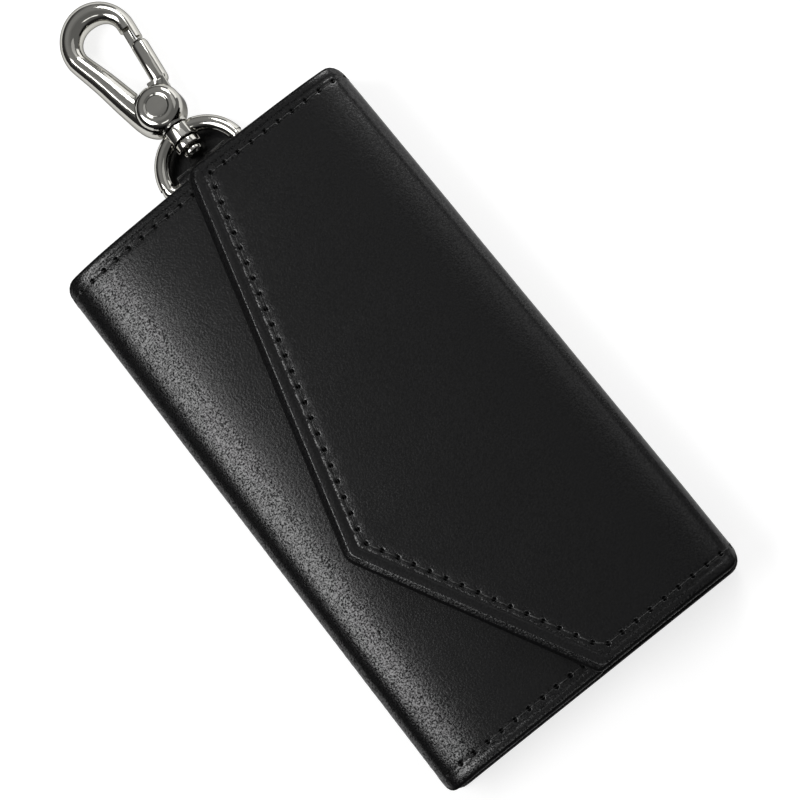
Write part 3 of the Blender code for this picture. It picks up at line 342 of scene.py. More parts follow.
def make_grain_group():
    """Pebbled leather: rounded cells with fine pores under long soft creases, and its shine.

    Fine specks break the shine up where the leather bends, less on the outer flap's side.
    A painted edge hardly shines."""
    tree, given, result = new_group(
        "pebbled_grain", {"Pebble Size": 0.0005, "Crease Strength": 0.3},
        ("Height", "Rubbed", "Mottle", "Shine"))
    place = add_node(tree, "ShaderNodeTexCoord").outputs
    where = place["Object"]
    cells = math_node(tree, "DIVIDE", 1.0, given["Pebble Size"])
    shift = add_node(tree, "ShaderNodeVectorMath", {
        0: noise(tree, where, PEBBLE_WARP_SCALE)["Color"], "Scale": PEBBLE_WARP}, operation="SCALE")
    warped = add_node(tree, "ShaderNodeVectorMath", {0: where, 1: shift.outputs[0]}, operation="ADD")
    pebbles = add_node(tree, "ShaderNodeTexVoronoi", {
        "Vector": warped.outputs[0], "Scale": cells, "Smoothness": PEBBLE_SMOOTHNESS},
        feature="SMOOTH_F1")
    rounded = ranged(tree, pebbles.outputs["Distance"], *PEBBLE_RANGE, 1.0, 0.0)
    fine = noise(tree, where, FINE_GRAIN_SCALE, *FINE_GRAIN_NOISE)["Fac"]
    pores = ranged(tree, fine, SPECK_LOW, SPECK_HIGH, 0.0, 1.0)

    long_way = add_node(tree, "ShaderNodeMapping", {
        "Vector": where, "Rotation": (0.0, 0.0, CREASE_TURN), "Scale": (1.0, CREASE_STRETCH, 1.0)})
    creases = noise(tree, long_way.outputs[0], CREASE_SCALE, *CREASE_NOISE)["Fac"]
    groove = ranged(tree, off_middle(tree, creases), 0.0, CREASE_REACH, 1.0, 0.0)
    worked = ranged(tree, noise(tree, where, WORKED_SCALE)["Fac"], *WORKED_RANGE)
    groove = product(tree, product(tree, groove, given["Crease Strength"]), worked)
    height = math_node(tree, "SUBTRACT", math_node(tree, "ADD", rounded, pores), groove)

    facing = add_node(tree, "ShaderNodeSeparateXYZ", {0: place["Normal"]}).outputs
    upright = math_node(tree, "ABSOLUTE", facing["Z"])
    bent = ranged(tree, upright, FLAT_UPRIGHT, BENT_UPRIGHT, FLAT_SPECK, BENT_SPECK)
    to_right = ranged(tree, facing["X"], *RIGHT_LEAN, 1.0, RIGHT_SPECK_SHARE)
    bent = product(tree, bent, to_right)
    speck = ranged(tree, fine, SPECK_LOW, SPECK_HIGH, -1.0, 1.0)
    paint = add_node(tree, "ShaderNodeAttribute", attribute_name="edge_paint").outputs["Fac"]
    shine = product(tree, math_node(tree, "MULTIPLY_ADD", speck, bent, 1.0),
                    ranged(tree, paint, 0.0, 1.0, 1.0, PAINTED_SHARE))

    patches = noise(tree, where, PATCH_SCALE, *PATCH_NOISE)["Fac"]
    tree.links.new(height, result["Height"])
    tree.links.new(shine, result["Shine"])
    tree.links.new(ranged(tree, patches, *RUBBED_RANGE, 0.0, 1.0), result["Rubbed"])
    tree.links.new(ranged(tree, patches, *MOTTLE_RANGE, 0.0, 1.0), result["Mottle"])
    return tree


# Handling marks of the metal
HAIR_TURN = (0.3, 0.2, 0.9)
HAIR_STRETCH = (1.0, 0.06, 0.5)
HAIR_NOISE = (4.0, 0.7)
HAIR_WIDTH = 0.012
HAIR_STRENGTH = 0.25
HAIR_DEPTH = 0.000004
SMUDGE_SCALE = 140.0
SMUDGE_NOISE = (3.0, 0.55)
SMUDGE_RANGE = (0.35, 0.7)
METAL_EDGE_TINT = (0.2, 0.2, 0.2, 1)


def make_polish_group():
    """Handling marks on polished metal: hair scratches and soft smudges."""
    tree, given, result = new_group(
        "handled_polish", {"Scratch Scale": 500.0}, ("Scratches", "Smudges"))
    where = add_node(tree, "ShaderNodeTexCoord").outputs["Object"]
    stretched = add_node(tree, "ShaderNodeMapping", {
        "Vector": where, "Rotation": HAIR_TURN, "Scale": HAIR_STRETCH})
    hairs = noise(tree, stretched.outputs[0], given["Scratch Scale"], *HAIR_NOISE)["Fac"]
    scratches = ranged(tree, off_middle(tree, hairs), 0.0, HAIR_WIDTH, 1.0, 0.0)
    tree.links.new(scratches, result["Scratches"])
    smudge = noise(tree, where, SMUDGE_SCALE, *SMUDGE_NOISE)["Fac"]
    tree.links.new(ranged(tree, smudge, *SMUDGE_RANGE, 0.0, 1.0), result["Smudges"])
    return tree


GRAIN = make_grain_group()
POLISH = make_polish_group()


def material_from(name, group, values, tones):
    """A material that carries a group; the group's mask goes between the tones."""
    material, tree, shader = new_material(name)
    marks = add_node(tree, "ShaderNodeGroup", values, node_tree=group).outputs
    mask, first, second = tones
    tone = add_node(tree, "ShaderNodeMix", {0: marks[mask], 6: first, 7: second}, data_type="RGBA")
    tree.links.new(tone.outputs[2], shader.inputs["Base Color"])
    return material, tree, shader.inputs, marks


def add_relief(tree, inputs, height, strength, distance):
    relief = add_node(tree, "ShaderNodeBump", {
        "Strength": strength, "Distance": distance, "Height": height})
    tree.links.new(relief.outputs[0], inputs["Normal"])


def leather_material(name, dark, light, smooth, rough, pebble, bump, creases, gloss=0.5):
    material, tree, inputs, grain = material_from(
        name, GRAIN, {"Pebble Size": pebble, "Crease Strength": creases}, ("Mottle", dark, light))
    facing = add_node(tree, "ShaderNodeLayerWeight", {"Blend": 0.5}).outputs["Facing"]
    matt = ranged(tree, facing, GRAZING_START, GRAZING_END, gloss, gloss * GRAZING_SHARE)
    tree.links.new(product(tree, matt, grain["Shine"]), inputs["Specular IOR Level"])
    tree.links.new(ranged(tree, grain["Rubbed"], 0.0, 1.0, rough, smooth), inputs["Roughness"])
    add_relief(tree, inputs, grain["Height"], 1.0, bump)
    return material


def metal_material(name, bright, dull, smooth, rough, scratch):
    material, tree, inputs, polish = material_from(
        name, POLISH, {"Scratch Scale": scratch}, ("Smudges", bright, dull))
    inputs["Metallic"].default_value = 1.0
    inputs["Specular Tint"].default_value = METAL_EDGE_TINT
    worn = math_node(tree, "MAXIMUM", polish["Smudges"], polish["Scratches"])
    tree.links.new(ranged(tree, worn, 0.0, 1.0, smooth, rough), inputs["Roughness"])
    add_relief(tree, inputs, polish["Scratches"], HAIR_STRENGTH, HAIR_DEPTH)
    return material


COVER_LEATHER = leather_material(
    "black_cover_leather", (0.0050, 0.0050, 0.0053, 1), (0.0070, 0.0070, 0.0072, 1),
    smooth=0.19, rough=0.24, pebble=0.00046, bump=0.000008, creases=0.22, gloss=0.36)
LINING_LEATHER = leather_material(
    "black_lining_leather", (0.014, 0.013, 0.013, 1), (0.020, 0.019, 0.018, 1),
    smooth=0.42, rough=0.54, pebble=0.00034, bump=0.000018, creases=0.10)
THREAD = leather_material(
    "waxed_black_thread", (0.006, 0.006, 0.006, 1), (0.012, 0.012, 0.012, 1),
    smooth=0.40, rough=0.52, pebble=0.00012, bump=0.00001, creases=0.0)
GUNMETAL = metal_material(
    "polished_gunmetal", (0.56, 0.55, 0.51, 1), (0.50, 0.49, 0.46, 1),
    smooth=0.06, rough=0.12, scratch=420.0)
NICKEL = metal_material(
    "satin_nickel", (0.62, 0.60, 0.56, 1), (0.52, 0.50, 0.47, 1),
    smooth=0.16, rough=0.26, scratch=620.0)
SPRING_STEEL = metal_material(
    "blued_spring_steel", (0.42, 0.42, 0.43, 1), (0.34, 0.34, 0.36, 1),
    smooth=0.18, rough=0.30, scratch=700.0)


# Sheets of leather
def eased(share):
    """The share between 0 and 1, with both its ends run in softly."""
    share = np.clip(share, 0, 1)
    return share * share * (3 - 2 * share)


class Skin:
    """Where a flat-cut piece lies: u runs along its bent section, v across it."""

    def __init__(self, start, heading, turn, moves, to_space):
        self.turn = turn
        self.to_space = to_space
        place = np.array(start, float)
        angle = math.radians(heading)
        rows = [(0.0, *place, *self.outward(angle))]
        along = 0.0
        for kind, *sizes in moves:
            if kind == "line":
                count, bends = 1, [0.0]
                step = sizes[0]
            elif kind == "arc":
                radius, swing = sizes[0], math.radians(sizes[1])
                count = max(int(radius * swing / TRACE_STEP), 4)
                step = radius * swing / count
                bends = [swing / count] * count
            else:
                swing, fade = math.radians(sizes[0]), sizes[1]
                count = int(EASE_SPAN * fade / TRACE_STEP)
                step = EASE_SPAN * fade / count
                left = [swing * math.exp(-i * step / fade) for i in range(count)] + [0.0]
                bends = [a - b for a, b in zip(left, left[1:])]
            for bend in bends:
                middle = angle + turn * bend / 2
                place = place + step * np.array((math.cos(middle), math.sin(middle)))
                angle += turn * bend
                along += step
                rows.append((along, *place, *self.outward(angle)))
        self.rows = np.array(rows)

    def outward(self, angle):
        return self.turn * math.sin(angle), -self.turn * math.cos(angle)

    def section(self, u):
        return [np.interp(u, self.rows[:, 0], self.rows[:, i]) for i in range(1, 5)]

    def place(self, u, v, depth):
        a, b, out_a, out_b = self.section(u)
        return self.to_space(a - out_a * depth, b - out_b * depth, v)

    def along_at(self, a):
        """How far along the section reaches a, on the stretch that runs inwards."""
        order = self.rows[::-1]
        return float(np.interp(a, order[:, 1], order[:, 0]))


def right_side(a, b, v):
    return np.stack([a, v, b], -1)


def left_side(a, b, v):
    return np.stack([-a, v, b], -1)


def ease_drop(angle, fade):
    """How far an easing shoulder falls: the sine of a fading angle, summed along it."""
    swing = math.radians(angle)
    return fade * (swing - swing ** 3 / 18 + swing ** 5 / 600)


def flap_skin(rise, top, ease, to_space):
    """From the middle of the upright strip over the shoulder to the flap's flat."""
    ease_angle, fade = ease
    middle = top / 2
    radius = (rise - ease_drop(ease_angle, fade)) / math.cos(math.radians(ease_angle))
    moves = [
        ("line", top - rise - middle), ("arc", radius, 90 - ease_angle),
        ("ease", ease_angle, fade), ("line", HALF_WIDTH * 3),
    ]
    return Skin((HALF_WIDTH, middle), 90, 1, moves, to_space)


def back_skin(rise, top, to_space):
    """From the middle of the upright strip down round the lower bend to the flat back."""
    middle = top / 2
    moves = [("line", middle - rise), ("arc", rise, 90), ("line", HALF_WIDTH * 2)]
    return Skin((HALF_WIDTH, middle), -90, -1, moves, to_space)


class ChangingSkin:
    """A skin that goes from one section at the clasp's end to another at the far end."""

    def __init__(self, clasp_end, far_end):
        self.ends = clasp_end, far_end

    def section(self, u):
        first, second = (skin.section(u) for skin in self.ends)
        return [(a + b) / 2 for a, b in zip(first, second)]

    def place(self, u, v, depth):
        first, second = (skin.place(u, v, depth) for skin in self.ends)
        share = eased(0.5 - np.asarray(v) / (2 * HALF_LENGTH))[:, None]
        return first * (1 - share) + second * share

    def along_at(self, a):
        return sum(skin.along_at(a) for skin in self.ends) / 2


LEFT_FLAP_SKIN = ChangingSkin(
    flap_skin(LEFT_SHOULDER_RISE, INNER_TOP, LEFT_CLASP_EASE, left_side),
    flap_skin(LEFT_SHOULDER_RISE, INNER_TOP, LEFT_FAR_EASE, left_side))
RIGHT_FLAP_SKIN = flap_skin(RIGHT_RISE, OUTER_TOP, RIGHT_EASE, right_side)
LEFT_BACK_SKIN = back_skin(LEFT_RISE, INNER_TOP, left_side)
RIGHT_BACK_SKIN = back_skin(RIGHT_RISE, OUTER_TOP, right_side)


CORNER_STEPS = 10


def rounded_corners(corners, radii):
    """The outline with an arc at each corner; it isn't closed on itself."""
    outline = []
    count = len(corners)
    for index, (corner, radius) in enumerate(zip(corners, radii)):
        here = Vector(corner)
        if not radius:
            outline.append(tuple(here))
            continue
        back = (Vector(corners[index - 1]) - here).normalized()
        ahead = (Vector(corners[(index + 1) % count]) - here).normalized()
        half = back.angle(ahead) / 2
        middle = here + (back + ahead).normalized() * (radius / math.sin(half))
        start = here + back * (radius / math.tan(half)) - middle
        swing = math.pi - 2 * half
        turn = 1 if back.x * ahead.y - back.y * ahead.x < 0 else -1
        for step in range(CORNER_STEPS + 1):
            turned_by = Matrix.Rotation(turn * swing * step / CORNER_STEPS, 2)
            outline.append(tuple(middle + turned_by @ start))
    return outline


def resampled(line, spacing, bend=12.0):
    """Points along a line: no further apart than spacing, and closer where it bends."""
    line = np.array(line, float)
    dense = [line[0]]
    for first, second in zip(line, line[1:]):
        pieces = max(int(np.linalg.norm(second - first) / (spacing / 8)), 1)
        dense += [first + (second - first) * (i + 1) / pieces for i in range(pieces)]
    dense = np.array(dense)
    kept = [dense[0]]
    run, turned = 0.0, 0.0
    for before, here, after in zip(dense, dense[1:], dense[2:]):
        way, next_way = here - before, after - here
        run += np.linalg.norm(way)
        cross = way[0] * next_way[1] - way[1] * next_way[0]
        turned += abs(math.degrees(math.atan2(cross, way @ next_way)))
        if run >= spacing or (turned >= bend and run > spacing / 6):
            kept.append(here)
            run, turned = 0.0, 0.0
    if run < spacing / 4 and len(kept) > 2:
        kept.pop()
    kept.append(dense[-1])
    return np.array(kept)


def distance_to(points, line):
    """Each point's distance to a line of short straight pieces."""
    points, line = np.array(points, float), np.array(line, float)
    nearest = np.full(len(points), 1e9)
    for first, second in zip(line, line[1:]):
        way = second - first
        length = way @ way
        if length == 0:
            continue
        share = np.clip(((points - first) @ way) / length, 0, 1)
        gap = points - (first + share[:, None] * way)
        nearest = np.minimum(nearest, np.hypot(gap[:, 0], gap[:, 1]))
    return nearest


def gap_to(points, lines):
    """Each point's distance to the nearest of the lines."""
    return np.min([distance_to(points, line) for line in lines], axis=0)


def inside(points, outline):
    points, outline = np.array(points, float), np.array(outline, float)
    hit = np.zeros(len(points), bool)
    for first, second in zip(outline, np.roll(outline, -1, 0)):
        if first[1] == second[1]:
            continue
        spans = (first[1] > points[:, 1]) != (second[1] > points[:, 1])
        cross = first[0] + (points[:, 1] - first[1]) * (second[0] - first[0]) / (second[1] - first[1])
        hit ^= spans & (points[:, 0] < cross)
    return hit


def inward_offsets(line, gap):
    """The points of a counter-clockwise line moved inwards."""
    ways = np.gradient(line, axis=0)
    ways /= np.linalg.norm(ways, axis=1)[:, None]
    return line + np.stack([-ways[:, 1], ways[:, 0]], 1) * gap


def keep_apart(points, others, gap):
    """The points that lie at least gap from all the others."""
    kept = []
    cells = {}
    for other in others:
        cells.setdefault((int(other[0] // gap), int(other[1] // gap)), []).append(other)
    for point in points:
        column, row = int(point[0] // gap), int(point[1] // gap)
        near = [o for i in (-1, 0, 1) for j in (-1, 0, 1) for o in cells.get((column + i, row + j), [])]
        if all((point[0] - o[0]) ** 2 + (point[1] - o[1]) ** 2 >= gap * gap for o in near):
            kept.append(point)
    return np.array(kept).reshape(-1, 2)


EDGE_SPACING = 0.0009
GRID_SPACING = 0.0011
RING_GAPS = (
    0.00008, 0.0002, 0.00035, 0.00052, 0.0006, 0.0009, 0.0012, 0.00135, 0.00145, 0.00155,
    0.0018, 0.0020, 0.00235, 0.0028, 0.0030, 0.0032, 0.0034, 0.0037, 0.0043, 0.0050)
HOLE_RINGS = ((HOLE_FLOOR_SHARE, 8), (0.65, 12), (1.0, 16), (1.15, 16), (1.5, 12))
LINING_RING_GAPS = (0.0001, 0.00025, 0.0005, 0.0014, 0.0028)
LINING_GRID = 0.0016
LINING_ROLL = 0.0003
ROW_SHARE = 0.866
ROW_STARTS = (0.75, 0.25)
ROW_CLEAR_SHARE = 0.6
ROW_APART_SHARE = 0.62
RING_SLACK = 0.06
RING_CLEAR_SHARE = 0.9
HOLE_CLEAR_SHARE = 1.9
MESHED_SCALE = 1000
MESHED_REACH = 1e-5


def filled_in(outline, spacing):
    """The closed outline with points at most a spacing apart, also along a seam."""
    filled = []
    for here, ahead in zip(outline, np.roll(outline, -1, axis=0)):
        count = max(math.ceil(np.linalg.norm(ahead - here) / spacing - 0.5), 1)
        filled += [here + (ahead - here) * step / count for step in range(count)]
    return np.array(filled)


def triangulated(outline, finished, holes, gaps, grid):
    """Points and triangles over the outline, close along its finished edges and at the holes."""
    fixed = filled_in(np.array(outline), grid)
    rings = []
    for line in finished:
        for gap in gaps:
            ring = inward_offsets(line, gap)
            ring = ring[inside(ring, outline)]
            rings.append(ring[gap_to(ring, finished) > gap - gap * RING_SLACK])
    rings = np.concatenate(rings)
    loop = np.concatenate([fixed, fixed[:1]])
    rings = rings[distance_to(rings, loop) > min(gaps) * RING_CLEAR_SHARE]
    low, high = fixed.min(0), fixed.max(0)
    rows = []
    for index in range(int((high[1] - low[1]) / (grid * ROW_SHARE)) + 1):
        v = low[1] + grid * ROW_SHARE * (index + 0.5)
        start = low[0] + grid * ROW_STARTS[index % 2]
        rows += [(u, v) for u in np.arange(start, high[0], grid)]
    rows = np.array(rows)
    rows = rows[inside(rows, outline)]
    rows = rows[distance_to(rows, loop) > grid * ROW_CLEAR_SHARE]
    rows = keep_apart(rows, rings, grid * ROW_APART_SHARE)
    loose = np.concatenate([rings, rows])
    marks = []
    for u, v in holes:
        marks.append((u, v))
        for share, count in HOLE_RINGS:
            for step in range(count):
                angle = 2 * math.pi * (step + share) / count
                marks.append((u + HOLE_RADIUS * share * math.cos(angle),
                              v + HOLE_RADIUS * share * math.sin(angle)))
    marks = np.array(marks)
    marks = marks[inside(marks, outline)]
    loose = keep_apart(loose, holes, HOLE_RADIUS * HOLE_CLEAR_SHARE)
    everything = np.concatenate([fixed, loose, marks]) * MESHED_SCALE
    points, _, faces, *_ = delaunay_2d_cdt(
        [Vector(p) for p in everything], [], [list(range(len(fixed)))], 1, MESHED_REACH)
    return np.array([tuple(p) for p in points]) / MESHED_SCALE, faces


def closed_sheet(name, skin, points, faces, outer, inner, gap, material):
    """One closed body between an outer and an inner depth at each point, with painted edges.

    The gap is each point's distance to a finished edge."""
    count = len(points)
    top = skin.place(points[:, 0], points[:, 1], outer)
    low = skin.place(points[:, 0], points[:, 1], inner)
    sides = dict.fromkeys(side for face in faces for side in zip(face, face[1:] + face[:1]))
    every = [tuple(face) for face in faces]
    every += [tuple(i + count for i in reversed(face)) for face in faces]
    every += [(b, a, a + count, b + count) for a, b in sides if (b, a) not in sides]
    mesh = bpy.data.meshes.new(name)
    mesh.from_pydata([tuple(p) for p in np.concatenate([top, low])], [], every)
    reworked(mesh, faces_out)
    shade(mesh, SHEET_SHARP_ANGLE)
    set_material(mesh, material)
    paint = np.clip((EDGE_PAINT_REACH - gap) / EDGE_PAINT_FADE, 0, 1)
    mesh.attributes.new("edge_paint", "FLOAT", "POINT").data.foreach_set("value", np.tile(paint, 2))
    return link(name, mesh)


def rolled(d, width, drop):
    """How far a rounded edge lies below the face at distance d from the edge."""
    share = np.clip(1 - d / width, 0, 1)
    return drop * (1 - np.sqrt(np.maximum(1 - share ** 2, 0)))


def bevelled(d, width, drop, crest):
    """How far a pressed, nearly straight edge slope with a narrow crest lies below the face."""
    share = np.clip(1 - d / width, 0, 1)
    return drop * (np.sqrt(share ** 2 + crest ** 2) - crest) / (math.sqrt(1 + crest ** 2) - crest)


def ridge(d, middle, width):
    return np.exp(-((d - middle) / width) ** 2)


class Panel:
    """One panel of the case: its outline in (u, v), its edges and its stitch lines."""

    def __init__(self, skin, ends, free, stitch_lines, crown=0.0):
        self.skin = skin
        self.ends = ends
        self.free = free
        self.finished = [line for line in (ends[0], free, ends[1]) if line is not None]
        if free is None:
            self.outline = np.concatenate(ends)
        else:
            self.outline = np.concatenate([ends[0], free[1:], ends[1][1:]])
        self.stitch_lines = stitch_lines
        self.crown = crown

    def drawn_in(self, margin):
        """The outline and its finished edges moved inwards, still reaching the seam."""
        line = np.array(self.outline)
        moved = inward_offsets(line, margin)
        moved[0, 0], moved[-1, 0] = line[0, 0], line[-1, 0]
        if self.free is None:
            half = len(self.ends[0])
            first, second = moved[:half], moved[half:]
            first[-1, 0] = second[0, 0] = line[half, 0]
            return moved, [first, second]
        return moved, [moved]

    def holes(self):
        return np.concatenate([even_stitches(line) for line in self.stitch_lines])

    def free_gap(self, points):
        if self.free is None:
            return np.full(len(points), HALF_LENGTH)
        return distance_to(points, self.free)

    def mitred_gap(self, points, end_value, free_value):
        """1 on the line that lies end_value in from the ends and free_value in from the free edge."""
        return np.minimum(gap_to(points, self.ends) / end_value, self.free_gap(points) / free_value)


def even_stitches(line):
    """Places along a line, about a pitch apart, with half a pitch left at both its ends."""
    line = np.array(line, float)
    steps = np.linalg.norm(np.diff(line, axis=0), axis=1)
    along = np.concatenate([[0], np.cumsum(steps)])
    start, end = STITCH_PITCH / 2, along[-1] - STITCH_PITCH / 2
    count = max(round((end - start) / STITCH_PITCH), 1)
    places = np.linspace(start, end, count + 1)
    return np.stack([np.interp(places, along, line[:, i]) for i in (0, 1)], 1)


FOLD_LINE_LENGTH = 0.016
FOLD_LINE_STEP = 0.0001
FOLD_LINE_SMOOTHING = 12
FOLD_STITCH_SHARE = 0.55
SLOPE_SAMPLE = -40


def fold_line(skin, reach):
    """The end edge's line in (u, v) from the seam inwards, following the plan's rounded corner."""
    line = []
    for u in np.arange(0, FOLD_LINE_LENGTH, FOLD_LINE_STEP):
        past = max(float(skin.section(u)[0]) - (HALF_WIDTH - CORNER_RADIUS), 0)
        drop = CORNER_RADIUS - math.sqrt(max(CORNER_RADIUS ** 2 - past ** 2, 0))
        line.append((u, reach - drop))
    line = np.array(line)
    kernel = np.hanning(2 * FOLD_LINE_SMOOTHING + 1)
    kernel /= kernel.sum()
    padded = np.pad(line[:, 1], FOLD_LINE_SMOOTHING, "edge")
    line[:, 1] = np.convolve(padded, kernel, "valid")
    return line


def fold_stitches(edge, highest):
    """The end stitching near a fold: straight, but never closer to the edge than it may be."""
    line = edge.copy()
    line[:, 1] = np.minimum(line[:, 1] - END_STITCH * FOLD_STITCH_SHARE, highest)
    return line


def slope_room(line):
    """How much an end edge's line rises from its last point back to each point."""
    before, last = line[SLOPE_SAMPLE], line[-1]
    return (before[1] - last[1]) / (last[0] - before[0]) * (last[0] - line[:, 0])


def mitred_corners(corners, gaps):
    """The corners moved inwards, where gap i belongs to the edge from corner i to corner i + 1."""
    moved = [corners[0]]
    for index in range(1, len(corners) - 1):
        here = Vector(corners[index])
        before = (here - Vector(corners[index - 1])).normalized()
        after = (Vector(corners[index + 1]) - here).normalized()
        system = Matrix(((-before.y, before.x), (-after.y, after.x)))
        moved.append(tuple(here + system.inverted() @ Vector((gaps[index - 1], gaps[index]))))
    moved.append(corners[-1])
    return moved


def flap_panel(skin, edges, stitches, corners, radii, gaps, crown=0.0):
    """A flap whose corners run from the lower fold end round the free edge to the upper one.

    The end edges take half of each outer corner's arc. The gaps are the stitches' distances."""
    (low, high), (low_stitch, high_stitch) = edges, stitches
    rounded = rounded_corners(corners, [0, *radii, 0])
    half = CORNER_STEPS // 2 + 1
    low_line = np.concatenate([low * (1, -1), rounded[1:half + 1]])
    high_line = np.concatenate([rounded[-half - 1:-1], high[::-1]])
    ends = [resampled(low_line, EDGE_SPACING), resampled(high_line, EDGE_SPACING)]
    free = resampled(rounded[half:-half], EDGE_SPACING)
    inset = mitred_corners(corners, gaps)[1:-1]
    line = np.concatenate([low_stitch * (1, -1), inset, high_stitch[::-1]])
    return Panel(skin, ends, free, [line], crown)


def make_outer_panel():
    """The pointed flap. Its upper end starts lower at the fold and rises to the top corner."""
    skin = RIGHT_FLAP_SKIN
    top_reach = HALF_LENGTH - FLAP_TOP_DROP
    low, high = fold_line(skin, HALF_LENGTH), fold_line(skin, top_reach)
    u_start, u_top = skin.along_at(HALF_WIDTH - CORNER_RADIUS), skin.along_at(FLAP_TOP_X)
    slope = (HALF_LENGTH - top_reach) / (u_top - u_start)
    high[:, 1] += slope * np.clip(high[:, 0] - u_start, 0, None)
    corners = [
        tuple(low[-1] * (1, -1)), (skin.along_at(FLAP_BOTTOM_X), -HALF_LENGTH),
        (skin.along_at(FLAP_POINT[0]), FLAP_POINT[1]), (u_top, HALF_LENGTH), tuple(high[-1])]
    stitches = (fold_stitches(low, HALF_LENGTH - END_STITCH),
                fold_stitches(high, high[-1, 1] - END_STITCH + slope_room(high)))
    return flap_panel(
        skin, (low, high), stitches, corners, (FLAP_BOTTOM_RADIUS, FLAP_POINT_RADIUS, FLAP_TOP_RADIUS),
        (END_STITCH, FREE_STITCH, FREE_STITCH, END_STITCH), FLAP_CROWN)


def make_inner_panel():
    skin = LEFT_FLAP_SKIN
    edge = fold_line(skin, HALF_LENGTH)
    u_end, u_free = edge[-1, 0], skin.along_at(-INNER_FREE_X)
    corners = [(u_end, -HALF_LENGTH), (u_free, -HALF_LENGTH), (u_free, HALF_LENGTH), (u_end, HALF_LENGTH)]
    stitch = fold_stitches(edge, HALF_LENGTH - END_STITCH)
    return flap_panel(
        skin, (edge, edge), (stitch, stitch), corners, (INNER_FREE_RADIUS,) * 2, (END_STITCH,) * 3)


def make_back_panel(skin):
    """Half of the back, from the middle of its upright strip to the middle of the case."""
    edge = fold_line(skin, HALF_LENGTH)
    u_middle, reach = skin.along_at(0), HALF_LENGTH - END_STITCH
    low_line = np.concatenate([edge * (1, -1), [(u_middle, -HALF_LENGTH)]])
    high_line = np.concatenate([[(u_middle, HALF_LENGTH)], edge[::-1]])
    ends = [resampled(low_line, EDGE_SPACING), resampled(high_line, EDGE_SPACING)]
    stitch = fold_stitches(edge, reach)
    low = np.concatenate([stitch * (1, -1), [(u_middle, -reach)]])
    high = np.concatenate([stitch, [(u_middle, reach)]])
    return Panel(skin, ends, None, [low, high])


WANDER_WAVES = 7
WANDER_SPREAD = (0.6, 1.6)


def wander(skin, points, scale, seed):
    """A smooth random field over the plan from a few crossing waves, between about -1 and 1."""
    drawn = random.Random(seed)
    total = np.zeros(len(points))
    points = skin.place(points[:, 0], points[:, 1], 0)[:, :2]
    for _ in range(WANDER_WAVES):
        angle = drawn.uniform(0, math.pi)
        length = scale * drawn.uniform(*WANDER_SPREAD)
        phase = drawn.uniform(0, 2 * math.pi)
        way = np.array((math.cos(angle), math.sin(angle)))
        total += np.sin(points @ way * 2 * math.pi / length + phase)
    return total / (WANDER_WAVES / 2)


# Depths of the sheets
CROWN_START = 0.004
CROWN_RUN = 0.012
COVER_WANDER_LENGTH = 0.02
HOLE_RIM_SHARE = 1.02
LIP_REACH = 0.00056
LIP_FADE = 0.00004
LIP_INNER_ROLL = (0.0005, 0.0009)
LEAST_THICKNESS = 0.00015
RIM_REACH = 0.00004
RIM_THICKNESS = 0.0003
LINING_WANDER = 0.000015
LINING_WANDER_LENGTH = 0.014
LINING_WANDER_START = 0.004
LINING_WANDER_RUN = 0.01
LINING_HOLE_REACH = 2.2
DIMPLE_SHARE = 0.75


def cover_sheet(name, panel, seed):
    """A cover with its edge slopes, crease, sunk stitch line and holes, and a lip down its edges."""
    holes = panel.holes()
    points, faces = triangulated(panel.outline, panel.finished, holes, RING_GAPS, GRID_SPACING)
    gap = gap_to(points, panel.finished)
    crease = panel.mitred_gap(points, END_CREASE, FREE_CREASE)
    stitch = panel.mitred_gap(points, END_STITCH, FREE_STITCH)
    ease = eased((points[:, 0] - FOLD_EASE_START) / FOLD_EASE_RUN)
    ease = FOLD_EASE_SHARE + (1 - FOLD_EASE_SHARE) * ease
    past_point = points[:, 1] - FLAP_POINT[1]
    drop = np.interp(past_point, (-SLOPE_CHANGE, SLOPE_CHANGE), (SLOPE_LOW_DROP, SLOPE_DROP))
    slope = bevelled(panel.free_gap(points), SLOPE_WIDTH, drop, SLOPE_CREST_SHARE)
    roll = rolled(gap_to(points, panel.ends), END_ROLL_WIDTH, END_ROLL_DROP)
    depth = (np.maximum(slope, roll) + rolled(gap, LIP_ROLL_WIDTH, LIP_ROLL_DROP)) * ease
    depth += CREASE_DEPTH * ridge(crease * END_CREASE, END_CREASE, CREASE_WIDTH) * ease
    depth += STITCH_GROOVE * ridge(stitch * END_STITCH, END_STITCH, STITCH_GROOVE_WIDTH) * ease
    inner_field = eased((gap - CROWN_START) / CROWN_RUN)
    depth -= panel.crown * inner_field * np.clip(points[:, 0] / SEAM_FADE, 0, 1)
    depth -= SURFACE_WANDER * wander(panel.skin, points, COVER_WANDER_LENGTH, seed) * inner_field
    for hole in holes:
        away = np.hypot(*(points - hole).T)
        depth += PUCKER_DEPTH * np.exp(-(away / PUCKER_RADIUS) ** 2)
        share = np.clip((HOLE_RIM_SHARE - away / HOLE_RADIUS) / (1.0 - HOLE_FLOOR_SHARE), 0, 1)
        depth += (HOLE_DEPTH - depth) * share
    lip = np.clip((LIP_REACH - gap) / LIP_FADE, 0, 1)
    lip_depth = COVER_THICKNESS + lip * (LAYER_GAP + LINING_THICKNESS) - rolled(gap, *LIP_INNER_ROLL) * lip
    inner = np.maximum(lip_depth, depth + LEAST_THICKNESS)
    inner = np.where(gap < RIM_REACH, np.minimum(inner, depth + RIM_THICKNESS), inner)
    return closed_sheet(name, panel.skin, points, faces, depth, inner, gap, COVER_LEATHER)


